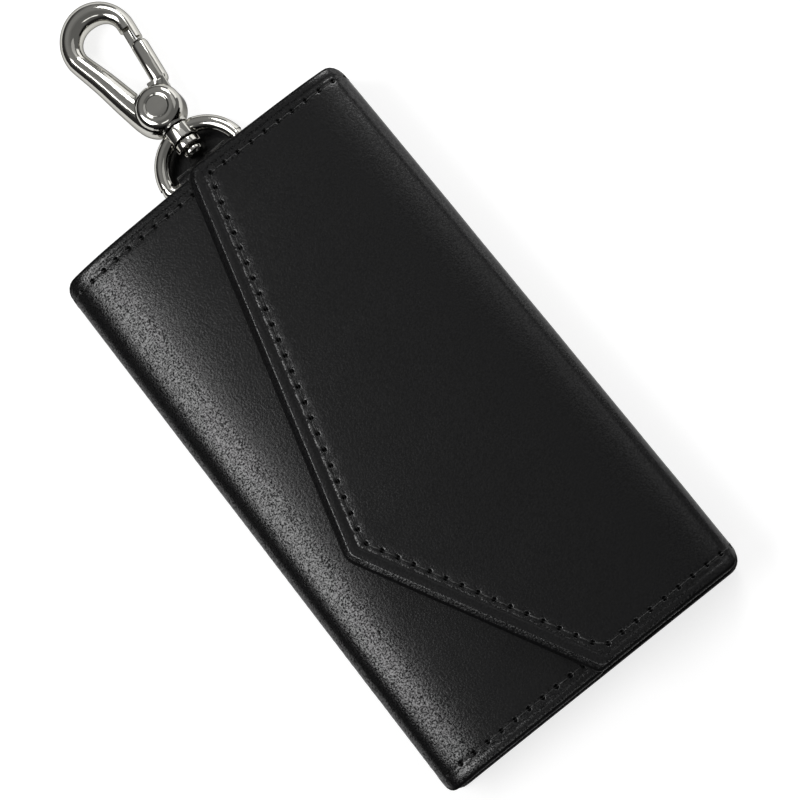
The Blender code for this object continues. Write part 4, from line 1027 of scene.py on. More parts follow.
def lining_sheet(name, panel, seed):
    """The lining under a cover: cut a little smaller, sewn with the same holes."""
    outline, finished = panel.drawn_in(LINING_INSET)
    holes = panel.holes()
    points, faces = triangulated(outline, finished, holes, LINING_RING_GAPS, LINING_GRID)
    gap = gap_to(points, finished)
    outer = np.full(len(points), COVER_THICKNESS + LAYER_GAP)
    inner = outer + LINING_THICKNESS - rolled(gap, LINING_ROLL, LINING_ROLL)
    soft = np.clip((gap - LINING_WANDER_START) / LINING_WANDER_RUN, 0, 1)
    inner += LINING_WANDER * wander(panel.skin, points, LINING_WANDER_LENGTH, seed) * soft
    for hole in holes:
        away = np.hypot(*(points - hole).T)
        near = away < HOLE_RADIUS * LINING_HOLE_REACH
        inner[near] -= HOLE_DEPTH / 2 * np.exp(-(away[near] / (HOLE_RADIUS * DIMPLE_SHARE)) ** 2)
    return closed_sheet(name, panel.skin, points, faces, outer, inner, gap, LINING_LEATHER)


# Thread: share along a stitch and how far it lies above its ends
STITCH_SHAPE = (
    (0.0, 0.0), (0.05, 0.35), (0.13, 0.86), (0.28, 1.0), (0.5, 1.04), (0.72, 1.0), (0.87, 0.86),
    (0.95, 0.35), (1.0, 0.0))
THREAD_DIP_SHARE = 0.75
THREAD_PROUD_SHARE = 0.55
THREAD_RESOLUTION = 3


def thread_along(name, skin, lines, depth, sign):
    """Stitches from hole to hole: each lies on the leather and dips at both its ends.

    On the lining side none crosses the press stud."""
    stud = np.array((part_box("snap_stud")[0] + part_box("snap_stud")[1]) / 2)[:2]
    curve = round_curve(name, THREAD_RADIUS, THREAD_RESOLUTION)
    rise = HOLE_DEPTH * THREAD_DIP_SHARE
    for line in lines:
        places = even_stitches(line)
        pairs = [(a, b, STITCH_SHAPE) for a, b in zip(places, places[1:])]
        pairs.append((np.array(line[0]), places[0], STITCH_SHAPE[4:]))
        pairs.append((places[-1], np.array(line[-1]), STITCH_SHAPE[:5]))
        for first, second, profile in pairs:
            middle = (first + second) / 2
            plan = skin.place(middle[:1], middle[1:], 0)[0][:2]
            if sign < 0 and np.hypot(*(plan - stud)) < STUD_CLEAR_RADIUS:
                continue
            low, high = profile[0][0], profile[-1][0]
            run = []
            for share, lift in profile:
                here = first + (second - first) * (share - low) / (high - low)
                below = depth - sign * (lift * (rise + THREAD_RADIUS * THREAD_PROUD_SHARE) - rise)
                run.append(skin.place(here[:1], here[1:], np.array([below]))[0])
            add_run(curve, run)
    return as_mesh(curve, THREAD)


def flat_floor(*pieces):
    """The lowest height of the pieces away from the fold."""
    return min(vertex.co.z for piece in pieces for vertex in piece.data.vertices
               if abs(vertex.co.x) < HALF_WIDTH - SHOULDER_REACH)


def make_covers():
    left_mid, right_mid = INNER_TOP / 2, OUTER_TOP / 2
    parts = (
        ("inner_flap_leather", make_inner_panel(), "left_fold", "inner_flap", -1, left_mid,
         left_mid + LEFT_BLEND_REACH, ("left_fold_cover", "inner_flap_cover"), 3),
        ("outer_flap_leather", make_outer_panel(), "right_fold", "outer_flap", 1, right_mid,
         right_mid + RIGHT_BLEND_REACH, ("right_fold_cover", "outer_flap_cover"), 5),
        ("back_leather_left", make_back_panel(LEFT_BACK_SKIN), "root", "left_fold", -1,
         BACK_BLEND_START, left_mid, ("back_cover",), 7),
        ("back_leather_right", make_back_panel(RIGHT_BACK_SKIN), "root", "right_fold", 1,
         BACK_BLEND_START, right_mid, ("back_cover",), 7),
    )
    inside_depth = COVER_THICKNESS + LAYER_GAP + LINING_THICKNESS
    for name, panel, lower, upper, side, low_z, high_z, nodes, seed in parts:
        skin, lines, x = panel.skin, panel.stitch_lines, side * HALF_WIDTH
        lining_name = name.replace("leather", "lining")
        sheet = cover_sheet(name, panel, seed)
        thread = thread_along(name + "_stitches", skin, lines, THREAD_DEPTH, 1)
        lining = lining_sheet(lining_name, panel, seed)
        inside_thread = thread_along(lining_name + "_stitches", skin, lines, inside_depth, -1)
        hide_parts(*nodes)
        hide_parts(*[node.replace("cover", "lining") for node in nodes])
        if lower != "root":
            high_z = min(high_z, flat_floor(lining, inside_thread) - BLEND_MARGIN)
        for piece, slot in ((sheet, "cover_leather"), (thread, "cover_leather"),
                            (lining, "lining_leather"), (inside_thread, "lining_leather")):
            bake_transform(piece)


make_covers()


# Metal: solid forms
ROUND_SIDES = 64
FINE_VOXEL = 0.00014
HOOK_FILLET_ROUNDS = 6
CORNER_EASE_SHARE = 0.45


def solid(name, build, material):
    """A mesh that build fills in, with its faces turned out."""
    def work(form):
        build(form)
        bmesh.ops.remove_doubles(form, verts=form.verts, dist=SOLID_MERGE_REACH)
        faces_out(form)

    mesh = reworked(bpy.data.meshes.new(name), work)
    set_material(mesh, material)
    shade(mesh, METAL_SHARP_ANGLE)
    return link(name, mesh)


AXIS_TURNS = {
    "X": Matrix.Rotation(math.radians(90), 4, "Y"),
    "Y": Matrix.Rotation(math.radians(-90), 4, "X"),
    "Z": Matrix.Identity(4),
}


def turned(name, profile, centre, axis, material, sides=ROUND_SIDES):
    """A turned piece from (radius, height) pairs down its outer side; a bore closes it inside."""
    place = Matrix.Translation(centre) @ AXIS_TURNS[axis]

    def build(form):
        points = [form.verts.new((radius, 0, height)) for radius, height in profile]
        pairs = list(zip(points, points[1:]))
        if profile[0][0] > 0:
            pairs.append((points[-1], points[0]))
        edges = [form.edges.new(pair) for pair in pairs]
        bmesh.ops.spin(form, geom=points + edges, axis=(0, 0, 1), cent=(0, 0, 0),
                       angle=2 * math.pi, steps=sides, use_merge=True)
        bmesh.ops.transform(form, matrix=place, verts=form.verts)

    return solid(name, build, material)


def rounded_profile(profile, radius, steps=4):
    """The profile with its outer corners eased; points on the axis stay."""
    eased = []
    for index, point in enumerate(profile):
        on_axis = point[0] == 0 or index in (0, len(profile) - 1)
        if on_axis:
            eased.append(point)
            continue
        here = Vector(point)
        before, after = Vector(profile[index - 1]) - here, Vector(profile[index + 1]) - here
        reach = min(radius, before.length * CORNER_EASE_SHARE, after.length * CORNER_EASE_SHARE)
        first, last = here + before.normalized() * reach, here + after.normalized() * reach
        for step in range(steps + 1):
            share = step / steps
            eased.append(tuple(first * (1 - share) ** 2 + here * 2 * share * (1 - share) + last * share ** 2))
    return eased


def box(name, low, high, material, turn=None, ease=0.0, steps=3):
    """A box between two corners with eased edges, turned about turn[0] by turn[1] degrees round Z."""
    centre, sizes = (Vector(low) + Vector(high)) / 2, Vector(high) - Vector(low)

    def build(form):
        bmesh.ops.create_cube(form, size=1.0)
        bmesh.ops.scale(form, vec=sizes, verts=form.verts)
        if ease:
            bmesh.ops.bevel(form, geom=form.edges[:], offset=ease, segments=steps, profile=0.5,
                            affect="EDGES")
        bmesh.ops.translate(form, vec=centre, verts=form.verts)
        if turn:
            spin = Matrix.Rotation(math.radians(turn[1]), 3, "Z")
            bmesh.ops.rotate(form, cent=turn[0], matrix=spin, verts=form.verts)

    return solid(name, build, material)


def smooth_way(points, shares, per_piece=8, closed=False):
    """Places and radius shares on a smooth curve through the points."""
    places, widths = [], []
    count = len(points)
    last = count if closed else count - 1
    for index in range(last):
        around = [index - 1, index, index + 1, index + 2]
        around = [i % count if closed else min(max(i, 0), count - 1) for i in around]
        p = [Vector(points[i]) for i in around]
        w = [shares[i] for i in around]
        for step in range(per_piece):
            t = step / per_piece
            mix = (-t + 2 * t * t - t ** 3, 2 - 5 * t * t + 3 * t ** 3,
                   t + 4 * t * t - 3 * t ** 3, -t * t + t ** 3)
            places.append(sum((p[i] * mix[i] for i in range(4)), Vector()) / 2)
            widths.append(sum(w[i] * mix[i] for i in range(4)) / 2)
    if not closed:
        places.append(Vector(points[-1]))
        widths.append(shares[-1])
    return places, widths


def tube(name, places, radius, material, widths=None, closed=False, resolution=6):
    """A round bar along the places, with flat ends."""
    curve = round_curve(name, radius, resolution, not closed)
    add_run(curve, places, widths, closed)
    made = as_mesh(curve, material)
    reworked(made.data, faces_out)
    return made


def settle(thing):
    """The object with its modifiers applied to its mesh."""
    mesh = evaluated_mesh(thing)
    mesh.name = thing.name
    thing.modifiers.clear()
    thing.data = mesh
    return thing


def combined(thing, others, operation):
    for other in others:
        step = thing.modifiers.new(other.name, "BOOLEAN")
        step.operation = operation
        step.solver = "EXACT"
        step.object = other
    settle(thing)
    discard(*others)
    shade(thing.data, METAL_SHARP_ANGLE)
    return thing


def cast(name, pieces, voxel, rounds, material):
    """The pieces run together as one casting, with soft fillets where they meet."""
    form = bmesh.new()
    for piece in pieces:
        form.from_mesh(piece.data)
    mesh = bpy.data.meshes.new(name)
    form.to_mesh(mesh)
    form.free()
    discard(*pieces)
    thing = link(name, mesh)
    skin = thing.modifiers.new("one_skin", "REMESH")
    skin.mode = "VOXEL"
    skin.voxel_size = voxel
    ease = thing.modifiers.new("fillets", "SMOOTH")
    ease.factor = 0.5
    ease.iterations = rounds
    settle(thing)
    set_material(thing.data, material)
    thing.data.shade_smooth()
    return thing


# Clasp
RING_LOW, RING_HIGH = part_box("clasp_ring")
RING_BAR_RADIUS = 0.00125
RING_WIRE_RADIUS = 0.0015
RING_RADIUS = 0.0083
RING_BOW_REACH = 0.0009
RING_CORNER_RADIUS = 0.0016
RING_STEPS = 64
RING_CORNER_STEPS = 8
CLASP_ROUNDNESS = 10
RING_PLACE = Vector((
    (RING_LOW.x + RING_HIGH.x) / 2, HALF_LENGTH + 0.0015, (RING_LOW.z + RING_HIGH.z) / 2))
COLLAR_SIDES = 8
COLLAR_RADIUS = 0.0029
COLLAR_INNER_REACH = 0.0071
COLLAR_OUTER_REACH = 0.0099
COLLAR_EASE = 0.00022
COLLAR_FACET_ANGLE = 30
HUB_REACH = 0.0149
HUB_RADIUS = 0.0047
HUB_THICKNESS = 0.0070
HUB_RIM_THICKNESS = 0.0032
HUB_FACE_RADIUS = 0.0029
HUB_DISH_RADIUS = 0.0023
HUB_DISH_DEPTH = 0.00022
HUB_DISH_EASE = 0.0002
HUB_STEPS = 12
NECK_REACH = 0.0102
NECK_RADIUS = 0.0028
NECK_SEAT_RADIUS = 0.0032
SLOT_WIDTH = 0.0036
SLOT_RADIUS = 0.0032
SLOT_SIDE_REACH = 0.0018
POST_RADIUS = 0.0013
POST_CLEARANCE = 0.0003
POST_HEAD_REACH = 0.0036
POST_HEAD_RADIUS = 0.0019
POST_HEAD_HEIGHT = 0.0014
POST_HEAD_CONE = (0.6, 0.35)
POST_HEAD_EASE = 0.0003
WASHER_RADIUS = 0.0026
WASHER_THICKNESS = 0.0015
WASHER_EASE = 0.0003
ROD_RADIUS = 0.0025
ROD_POINTS = (
    (0.0123, -0.0006, 1.10), (0.0139, -0.0025, 1.24), (0.0191, -0.0040, 1.08),
    (0.0262, -0.0053, 0.96))
HEAD_REACH = 0.03335
HEAD_SIDE = 0.0010
HEAD_RADIUS = 0.00578
HEAD_START_ANGLE = -12.0
HEAD_STEPS = 14
HEAD_SHOULDER_SHARE = 0.86
HEAD_CREST_SHARE = 1.00
NOSE_SHARE = 0.70
NOSE_LENGTH = 0.0042
GATE_TILT = 7.0
GATE_SIDE = 0.00292
GATE_WIDTH = 0.0034
GATE_THICKNESS = 0.0032
GATE_START = 0.0042
GATE_END = 0.0145
GATE_TONGUE_END = 0.0170
GATE_TONGUE_SHARE = 0.48
GATE_CLEARANCE = 0.0003
GATE_EASE = 0.0014
GATE_LAP = 0.0015
TONGUE_INSET = 0.0005
TONGUE_EASE = 0.0003
GATE_SEAM = 0.0001
KNUCKLE_RADIUS = 0.0029
KNUCKLE_THICKNESS = 0.0015
LINK_SIDE = 0.0003
LINK_START = 0.0010
LINK_INSET = 0.0006
LINK_LAP = 0.0014
LINK_EASE = 0.0002
PIN_RADIUS = 0.0012
PIN_CLEARANCE = 0.0001
PIN_HEAD_RADIUS = 0.0021
PIN_HEAD_DEPTH = 0.0005
PIN_HEAD_DOME = 0.00002
PIN_HEAD_SLOPE = 0.0001
PIN_EASE = 0.00008
PIN_SEAM = 0.00004
CUT_OVERRUN = 0.001
HUB_PLACE = RING_PLACE + Vector((0, HUB_REACH, 0))


def from_ring(reach, side=0.0, lift=0.0):
    return RING_PLACE + Vector((side, reach, lift))


def bar_profile(radius, length):
    return [(0, length), (radius, length), (radius, 0), (0, 0)]


def plug_profile(radius, half):
    return [(0, half), (radius, half), (radius, -half), (0, -half)]


def make_ring():
    """The bow and the straight bar as one wire, and the faceted collar with its bore."""
    start = math.asin((RING_CORNER_RADIUS - RING_BOW_REACH) / RING_RADIUS)
    places, widths = [], []
    for step in range(RING_STEPS + 1):
        angle = start + (math.pi - 2 * start) * step / RING_STEPS
        places.append(from_ring(RING_BOW_REACH, 0) + Vector(
            (math.cos(angle), math.sin(angle), 0)) * RING_RADIUS)
        widths.append(1.0)
    inner = RING_RADIUS - RING_CORNER_RADIUS
    bar = RING_BAR_RADIUS / RING_WIRE_RADIUS
    for side, turn in ((-1, math.pi), (1, math.pi * 3 / 2)):
        for step in range(RING_CORNER_STEPS + 1):
            angle = turn + math.pi / 2 * step / RING_CORNER_STEPS
            middle = from_ring(RING_CORNER_RADIUS, side * inner)
            places.append(middle + Vector((math.cos(angle), math.sin(angle), 0)) * RING_CORNER_RADIUS)
            share = step / RING_CORNER_STEPS if side < 0 else 1 - step / RING_CORNER_STEPS
            widths.append(1 + (bar - 1) * share)
    ring = tube("clasp_ring_wire", places, RING_WIRE_RADIUS, GUNMETAL, widths, closed=True,
                resolution=CLASP_ROUNDNESS)
    reach = COLLAR_OUTER_REACH - COLLAR_INNER_REACH
    profile = rounded_profile(plug_profile(COLLAR_RADIUS, reach / 2), COLLAR_EASE)
    middle = from_ring((COLLAR_INNER_REACH + COLLAR_OUTER_REACH) / 2)
    collar = turned("collar", profile, middle, "Y", GUNMETAL, COLLAR_SIDES)
    bevel = collar.modifiers.new("facet_edges", "BEVEL")
    bevel.width = COLLAR_EASE
    bevel.segments = 2
    bevel.limit_method = "ANGLE"
    bevel.angle_limit = math.radians(COLLAR_FACET_ANGLE)
    settle(collar)
    combined(ring, [collar], "UNION")
    bore = turned("bore", bar_profile(POST_RADIUS + POST_CLEARANCE, reach + 2 * CUT_OVERRUN),
                  from_ring(COLLAR_INNER_REACH - CUT_OVERRUN), "Y", GUNMETAL)
    seat = turned("seat", bar_profile(NECK_SEAT_RADIUS, RING_WIRE_RADIUS + CUT_OVERRUN),
                  from_ring(COLLAR_OUTER_REACH), "Y", GUNMETAL)
    combined(ring, [bore, seat], "DIFFERENCE")
    ridden(ring, "ring", "clasp_ring")


def rod_way():
    points = [tuple(from_ring(reach, side)) for reach, side, _ in ROD_POINTS]
    shares = [share for *_, share in ROD_POINTS]
    tilt, start = math.radians(GATE_TILT), math.radians(HEAD_START_ANGLE)
    end = math.pi + tilt
    for step in range(HEAD_STEPS + 1):
        angle = start + (end - start) * step / HEAD_STEPS
        points.append(tuple(from_ring(
            HEAD_REACH + HEAD_RADIUS * math.sin(angle), -HEAD_SIDE - HEAD_RADIUS * math.cos(angle))))
        crest = max(math.sin(angle), 0) ** 2
        thin = HEAD_SHOULDER_SHARE if math.cos(angle) > 0 else NOSE_SHARE
        shares.append(thin + (HEAD_CREST_SHARE - thin) * crest)
    tip = Vector(points[-1]) - Vector((math.sin(tilt), math.cos(tilt), 0)) * NOSE_LENGTH
    points.append(tuple(tip))
    shares.append(NOSE_SHARE)
    return smooth_way(points, shares)


def hub_profile():
    half, rim = HUB_THICKNESS / 2, HUB_RIM_THICKNESS / 2
    upper = [(0, half - HUB_DISH_DEPTH), (HUB_DISH_RADIUS - HUB_DISH_EASE, half - HUB_DISH_DEPTH),
             (HUB_DISH_RADIUS, half - HUB_DISH_DEPTH / 2), (HUB_DISH_RADIUS + HUB_DISH_EASE, half)]
    for step in range(HUB_STEPS + 1):
        angle = math.pi / 2 * step / HUB_STEPS
        upper.append((
            HUB_FACE_RADIUS + (HUB_RADIUS - HUB_FACE_RADIUS) * math.sin(angle),
            rim + (half - rim) * math.cos(angle)))
    return mirrored(upper)


def mirrored(upper):
    """A profile's upper half, followed by the same below."""
    return upper + [(radius, -height) for radius, height in upper[::-1]]


def gate_box(name, low, high, ease=0.0, steps=3):
    return box(name, HUB_PLACE + Vector(low), HUB_PLACE + Vector(high), GUNMETAL,
               (HUB_PLACE, -GATE_TILT), ease, steps)


def make_hook():
    """The cast hook with its hub and post, slotted for the gate and bored for the rivet's heads."""
    places, widths = rod_way()
    rod = tube("rod", places, ROD_RADIUS, GUNMETAL, widths, resolution=CLASP_ROUNDNESS)
    hub = turned("hub", hub_profile(), HUB_PLACE, "Z", GUNMETAL)
    head_place = from_ring(POST_HEAD_REACH)
    neck = turned("neck", bar_profile(NECK_RADIUS, HUB_REACH - NECK_REACH),
                  from_ring(NECK_REACH), "Y", GUNMETAL)
    post = turned("post", bar_profile(POST_RADIUS, NECK_REACH - POST_HEAD_REACH),
                  head_place, "Y", GUNMETAL)
    cone_radius, cone_height = POST_HEAD_CONE
    head_shape = [
        (0, POST_HEAD_HEIGHT), (POST_HEAD_RADIUS, POST_HEAD_HEIGHT),
        (POST_HEAD_RADIUS, POST_HEAD_HEIGHT * cone_height), (POST_HEAD_RADIUS * cone_radius, 0), (0, 0)]
    head = turned("post_head", rounded_profile(head_shape, POST_HEAD_EASE), head_place, "Y", GUNMETAL)
    body = cast("clasp_hook", [hub, rod, neck, post, head], FINE_VOXEL, HOOK_FILLET_ROUNDS, GUNMETAL)
    half, far = HUB_THICKNESS / 2, HUB_RADIUS + CUT_OVERRUN
    slot = turned("slot", plug_profile(SLOT_RADIUS, SLOT_WIDTH / 2), HUB_PLACE, "Z", GUNMETAL)
    mouth = box("mouth", HUB_PLACE + Vector((-SLOT_SIDE_REACH, 0, -SLOT_WIDTH / 2)),
                HUB_PLACE + Vector((far, far, SLOT_WIDTH / 2)), GUNMETAL)
    hole = turned("hole", plug_profile(PIN_HEAD_RADIUS + PIN_SEAM, half + CUT_OVERRUN),
                  HUB_PLACE, "Z", GUNMETAL)
    tongue_side = GATE_SIDE - GATE_WIDTH / 2 + GATE_TONGUE_SHARE * GATE_WIDTH
    nose_end = gate_box("nose_end", (0, GATE_START, -half),
                        (HUB_RADIUS * 2, GATE_END + GATE_CLEARANCE, half))
    notch = gate_box("notch", (0, GATE_START, -half),
                     (tongue_side + GATE_CLEARANCE, GATE_TONGUE_END + GATE_CLEARANCE, half))
    combined(body, [slot, mouth, hole, nose_end, notch], "DIFFERENCE")
    ridden(body, "clasp", "clasp_body")


def make_clasp_fittings():
    """The washer under the post's head, and the rivet with a head in each dish of the hub."""
    inner = POST_RADIUS + POST_CLEARANCE / 2
    shape = [(inner, WASHER_THICKNESS), (WASHER_RADIUS, WASHER_THICKNESS), (WASHER_RADIUS, 0), (inner, 0)]
    reach = POST_HEAD_REACH + POST_HEAD_HEIGHT + POST_CLEARANCE
    washer = turned("swivel_washer_disc", rounded_profile(shape, WASHER_EASE),
                    from_ring(reach), "Y", GUNMETAL)
    half = HUB_THICKNESS / 2 - HUB_DISH_DEPTH
    below = half - PIN_HEAD_DEPTH
    upper = [(0, half + PIN_HEAD_DOME), (PIN_HEAD_RADIUS * 0.5, half + PIN_HEAD_DOME),
             (PIN_HEAD_RADIUS, half), (PIN_HEAD_RADIUS, below), (PIN_RADIUS, below - PIN_HEAD_SLOPE)]
    pin = turned("gate_rivet", rounded_profile(mirrored(upper), PIN_EASE), HUB_PLACE, "Z", GUNMETAL)
    ridden(washer, "clasp", "swivel_washer")
    ridden(pin, "clasp", "gate_pin")


def make_gate():
    """The gate's bar, with a tongue that meets the nose and a link to its knuckle on the rivet."""
    low_side, high_side = GATE_SIDE - GATE_WIDTH / 2, GATE_SIDE + GATE_WIDTH / 2
    tongue_side = low_side + GATE_TONGUE_SHARE * GATE_WIDTH
    half = GATE_THICKNESS / 2
    top = SLOT_WIDTH / 2 - GATE_CLEARANCE
    low = top - KNUCKLE_THICKNESS
    gate = gate_box("clasp_gate_bar", (low_side, GATE_START, -half), (high_side, GATE_END, half),
                    GATE_EASE, 6)
    tongue = gate_box("tongue", (low_side + GATE_SEAM, GATE_END - GATE_LAP, TONGUE_INSET - half),
                      (tongue_side, GATE_TONGUE_END, half - TONGUE_INSET), TONGUE_EASE)
    link_bar = gate_box("link", (LINK_SIDE, LINK_START, low),
                        (high_side - LINK_INSET, GATE_START + LINK_LAP, top - GATE_SEAM), LINK_EASE)
    knuckle = turned("knuckle", bar_profile(KNUCKLE_RADIUS, KNUCKLE_THICKNESS),
                     HUB_PLACE + Vector((0, 0, low)), "Z", GUNMETAL)
    combined(gate, [tongue, link_bar, knuckle], "UNION")
    hole = turned("hole", bar_profile(PIN_RADIUS + PIN_CLEARANCE, KNUCKLE_THICKNESS + 2 * CUT_OVERRUN),
                  HUB_PLACE + Vector((0, 0, low - CUT_OVERRUN)), "Z", GUNMETAL)
    combined(gate, [hole], "DIFFERENCE")
    ridden(gate, "gate", "clasp_gate")


make_ring()
make_hook()
make_clasp_fittings()
make_gate()


# Leather tab round the ring's bar
TAB_WIDTH = 0.0114
TAB_THICKNESS = 0.0009
TAB_LENGTH = 0.0080
TAB_LEG_GAP = 0.0003
TAB_OPEN_ANGLE = 50.0
TAB_LOOP_STEPS = 40
TAB_SPACING = 0.0004
TAB_BEND = 6
# Rear leaf: black leather across the ring's opening that also stands in for the shade inside the ring
# (painted shade)
TAB_LEAF_THICKNESS = 0.00045
TAB_LEAF_INSET = 0.0001
TAB_LEAF_START = -0.0012
TAB_HEEL_END = 0.0010
TAB_HEEL_HEIGHT = 0.00175
TAB_HEEL_INSET = 0.0004
TAB_HEEL_EASE = 0.0001
TAB_EDGE_ROUND = 0.0003
TAB_LEAF_STEPS = 48
TAB_LEAF_SPACING = 0.0006
BAR_CLEARANCE = 0.0002
TAB_LEAF_LEVELS = ((0.00012, 0.0), (0.0, 0.00010), (0.0, 0.00032), (0.00013, TAB_LEAF_THICKNESS))


def rounded_band(half_width, half_thickness, radius, steps=4):
    """The outline of a band's section: across it, and out of its face."""
    outline = []
    for side, rise, start in ((1, 1, 0), (-1, 1, 90), (-1, -1, 180), (1, -1, 270)):
        for step in range(steps + 1):
            angle = math.radians(start + 90 * step / steps)
            outline.append((side * (half_width - radius) + radius * math.cos(angle),
                            rise * (half_thickness - radius) + radius * math.sin(angle)))
    return outline


def lofted(form, loops):
    """A closed body through loops with as many points each."""
    count = len(loops[0])
    for low, high in zip(loops, loops[1:]):
        for i in range(count):
            form.faces.new((low[i], low[(i + 1) % count], high[(i + 1) % count], high[i]))
    form.faces.new(loops[0][::-1])
    form.faces.new(loops[-1])


def tab_strap():
    """The strap that runs along the tab's path, centred on the ring's middle."""
    path = tab_path()
    section = rounded_band(TAB_WIDTH / 2, TAB_THICKNESS / 2, TAB_EDGE_ROUND)

    def build(form):
        loops = []
        for index, (y, z) in enumerate(path):
            before, after = path[max(index - 1, 0)], path[min(index + 1, len(path) - 1)]
            way = (Vector(after) - Vector(before)).normalized()
            loops.append([form.verts.new((RING_PLACE.x + x, y + way.y * h, z - way.x * h))
                          for x, h in section])
        lofted(form, loops)

    return solid("tab_strap", build, COVER_LEATHER)


def tab_path():
    loop = RING_BAR_RADIUS + BAR_CLEARANCE + TAB_THICKNESS / 2
    leg = (TAB_LEG_GAP + TAB_THICKNESS) / 2
    start = HALF_LENGTH - TAB_LENGTH
    opening = math.radians(TAB_OPEN_ANGLE)
    bend = RING_PLACE.y - loop * math.cos(opening) - (loop * math.sin(opening) - leg) * math.tan(opening)
    upper = [(start, RING_PLACE.z + leg), (bend, RING_PLACE.z + leg)]
    path = [(y, 2 * RING_PLACE.z - z) for y, z in upper]
    for step in range(TAB_LOOP_STEPS + 1):
        angle = math.pi + opening + 2 * (math.pi - opening) * step / TAB_LOOP_STEPS
        path.append((RING_PLACE.y + loop * math.cos(angle), RING_PLACE.z + loop * math.sin(angle)))
    return resampled(path + upper[::-1], TAB_SPACING, TAB_BEND)


def make_tab():
    """The strap round the ring's bar, the rear leaf that closes the ring, and the heel on it. The leaf's
    black leather partly stands in for the shade inside the ring: painted shade.
    """
    strap = tab_strap()
    reach = RING_RADIUS - TAB_LEAF_INSET
    half = TAB_WIDTH / 2
    centre = Vector((RING_PLACE.x, RING_PLACE.y + RING_BOW_REACH))
    start = RING_PLACE.y + TAB_LEAF_START
    outline = [(centre.x - half, RING_PLACE.y), (centre.x - half, start),
               (centre.x + half, start), (centre.x + half, RING_PLACE.y)]
    for step in range(TAB_LEAF_STEPS + 1):
        angle = math.pi * step / TAB_LEAF_STEPS
        outline.append((centre.x + reach * math.cos(angle), centre.y + reach * math.sin(angle)))
    line = resampled(outline + outline[:1], TAB_LEAF_SPACING)[:-1]
    away = line - line.mean(0)
    inwards = away / np.linalg.norm(away, axis=1)[:, None]
    # The leaf darkens the ring's opening: painted shade in place of the shade under the ring and hub
    leaf = solid("tab_rear_leaf_and_ring_shade", lambda form: lofted(form, [
        [form.verts.new((*p, height)) for p in line - inwards * inset]
        for inset, height in TAB_LEAF_LEVELS]), COVER_LEATHER)
    heel_half = half - TAB_HEEL_INSET
    heel = box("tab_heel", (centre.x - heel_half, start + TAB_HEEL_INSET, TAB_LEAF_THICKNESS / 2),
               (centre.x + heel_half, RING_PLACE.y + TAB_HEEL_END, TAB_HEEL_HEIGHT),
               COVER_LEATHER, None, TAB_HEEL_EASE)
    for piece in (strap, leaf, heel):
        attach(piece, "root")
    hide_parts("ring_tab")


make_tab()


# Card pockets
POCKET_CORNER = 0.002
POCKET_DIP = 0.004
POCKET_DIP_WIDTH = 0.024
POCKET_STITCH = 0.0018
POCKET_GRID = 0.0022
POCKET_ROLL = (0.0004, 0.0002)
POCKET_CREASE = (0.00008, 0.0009, 0.0002)
POCKET_WANDER = 0.00003
POCKET_WANDER_LENGTH = 0.016
POCKET_WANDER_START = 0.003
POCKET_WANDER_RUN = 0.01
POCKET_MOUTH_MARGIN = 0.0001
POCKET_HOLE_DEPTH = 0.0003
POCKET_THREAD_DEPTH = 0.00005
POCKET_RING_GAPS = (0.00008, 0.0002, 0.0004, 0.0009, 0.0018, 0.0026)


class FlatSkin:
    """A flat face at one height, with depth measured down from it."""

    def __init__(self, height):
        self.height = height

    def place(self, u, v, depth):
        return np.stack([u, v, self.height - depth + 0 * u], -1)


def make_pocket(node, seed):
    low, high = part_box(node)
    corners = [(low.x, low.y), (high.x, low.y), (high.x, high.y), (low.x, high.y)]
    outline = rounded_corners(corners, [POCKET_CORNER] * 4)
    line = resampled(outline + outline[:1], EDGE_SPACING)
    mouth = np.clip(np.abs(line[:, 0]) / (POCKET_DIP_WIDTH / 2), 0, 1)
    top = line[:, 1] > high.y - POCKET_MOUTH_MARGIN
    line[top, 1] -= POCKET_DIP * (1 + np.cos(math.pi * mouth[top])) / 2
    reach = POCKET_STITCH
    stitches = np.array([(low.x + reach, high.y - reach), (low.x + reach, low.y + reach),
                         (high.x - reach, low.y + reach), (high.x - reach, high.y - reach)])
    holes = even_stitches(stitches)
    points, faces = triangulated(line[:-1], [line], holes, POCKET_RING_GAPS, POCKET_GRID)
    gap = distance_to(points, line)
    crease, crease_gap, crease_width = POCKET_CREASE
    depth = rolled(gap, *POCKET_ROLL)
    depth += crease * ridge(gap, crease_gap, crease_width)
    skin = FlatSkin(high.z)
    soft = np.clip((gap - POCKET_WANDER_START) / POCKET_WANDER_RUN, 0, 1)
    depth -= POCKET_WANDER * wander(skin, points, POCKET_WANDER_LENGTH, seed) * soft
    for hole in holes:
        away = np.hypot(*(points - hole).T)
        depth += POCKET_HOLE_DEPTH * np.exp(-(away / (HOLE_RADIUS * DIMPLE_SHARE)) ** 2)
    under = np.full(len(points), high.z - low.z)
    leaf = closed_sheet(node + "_leaf", skin, points, faces, depth, under, gap, LINING_LEATHER)
    thread = thread_along(node + "_stitches", skin, [stitches], POCKET_THREAD_DEPTH, 1)
    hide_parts(node)
    for piece in (leaf, thread):
        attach(piece, "root")


make_pocket("rear_card_pocket", 21)
make_pocket("front_card_pocket", 23)


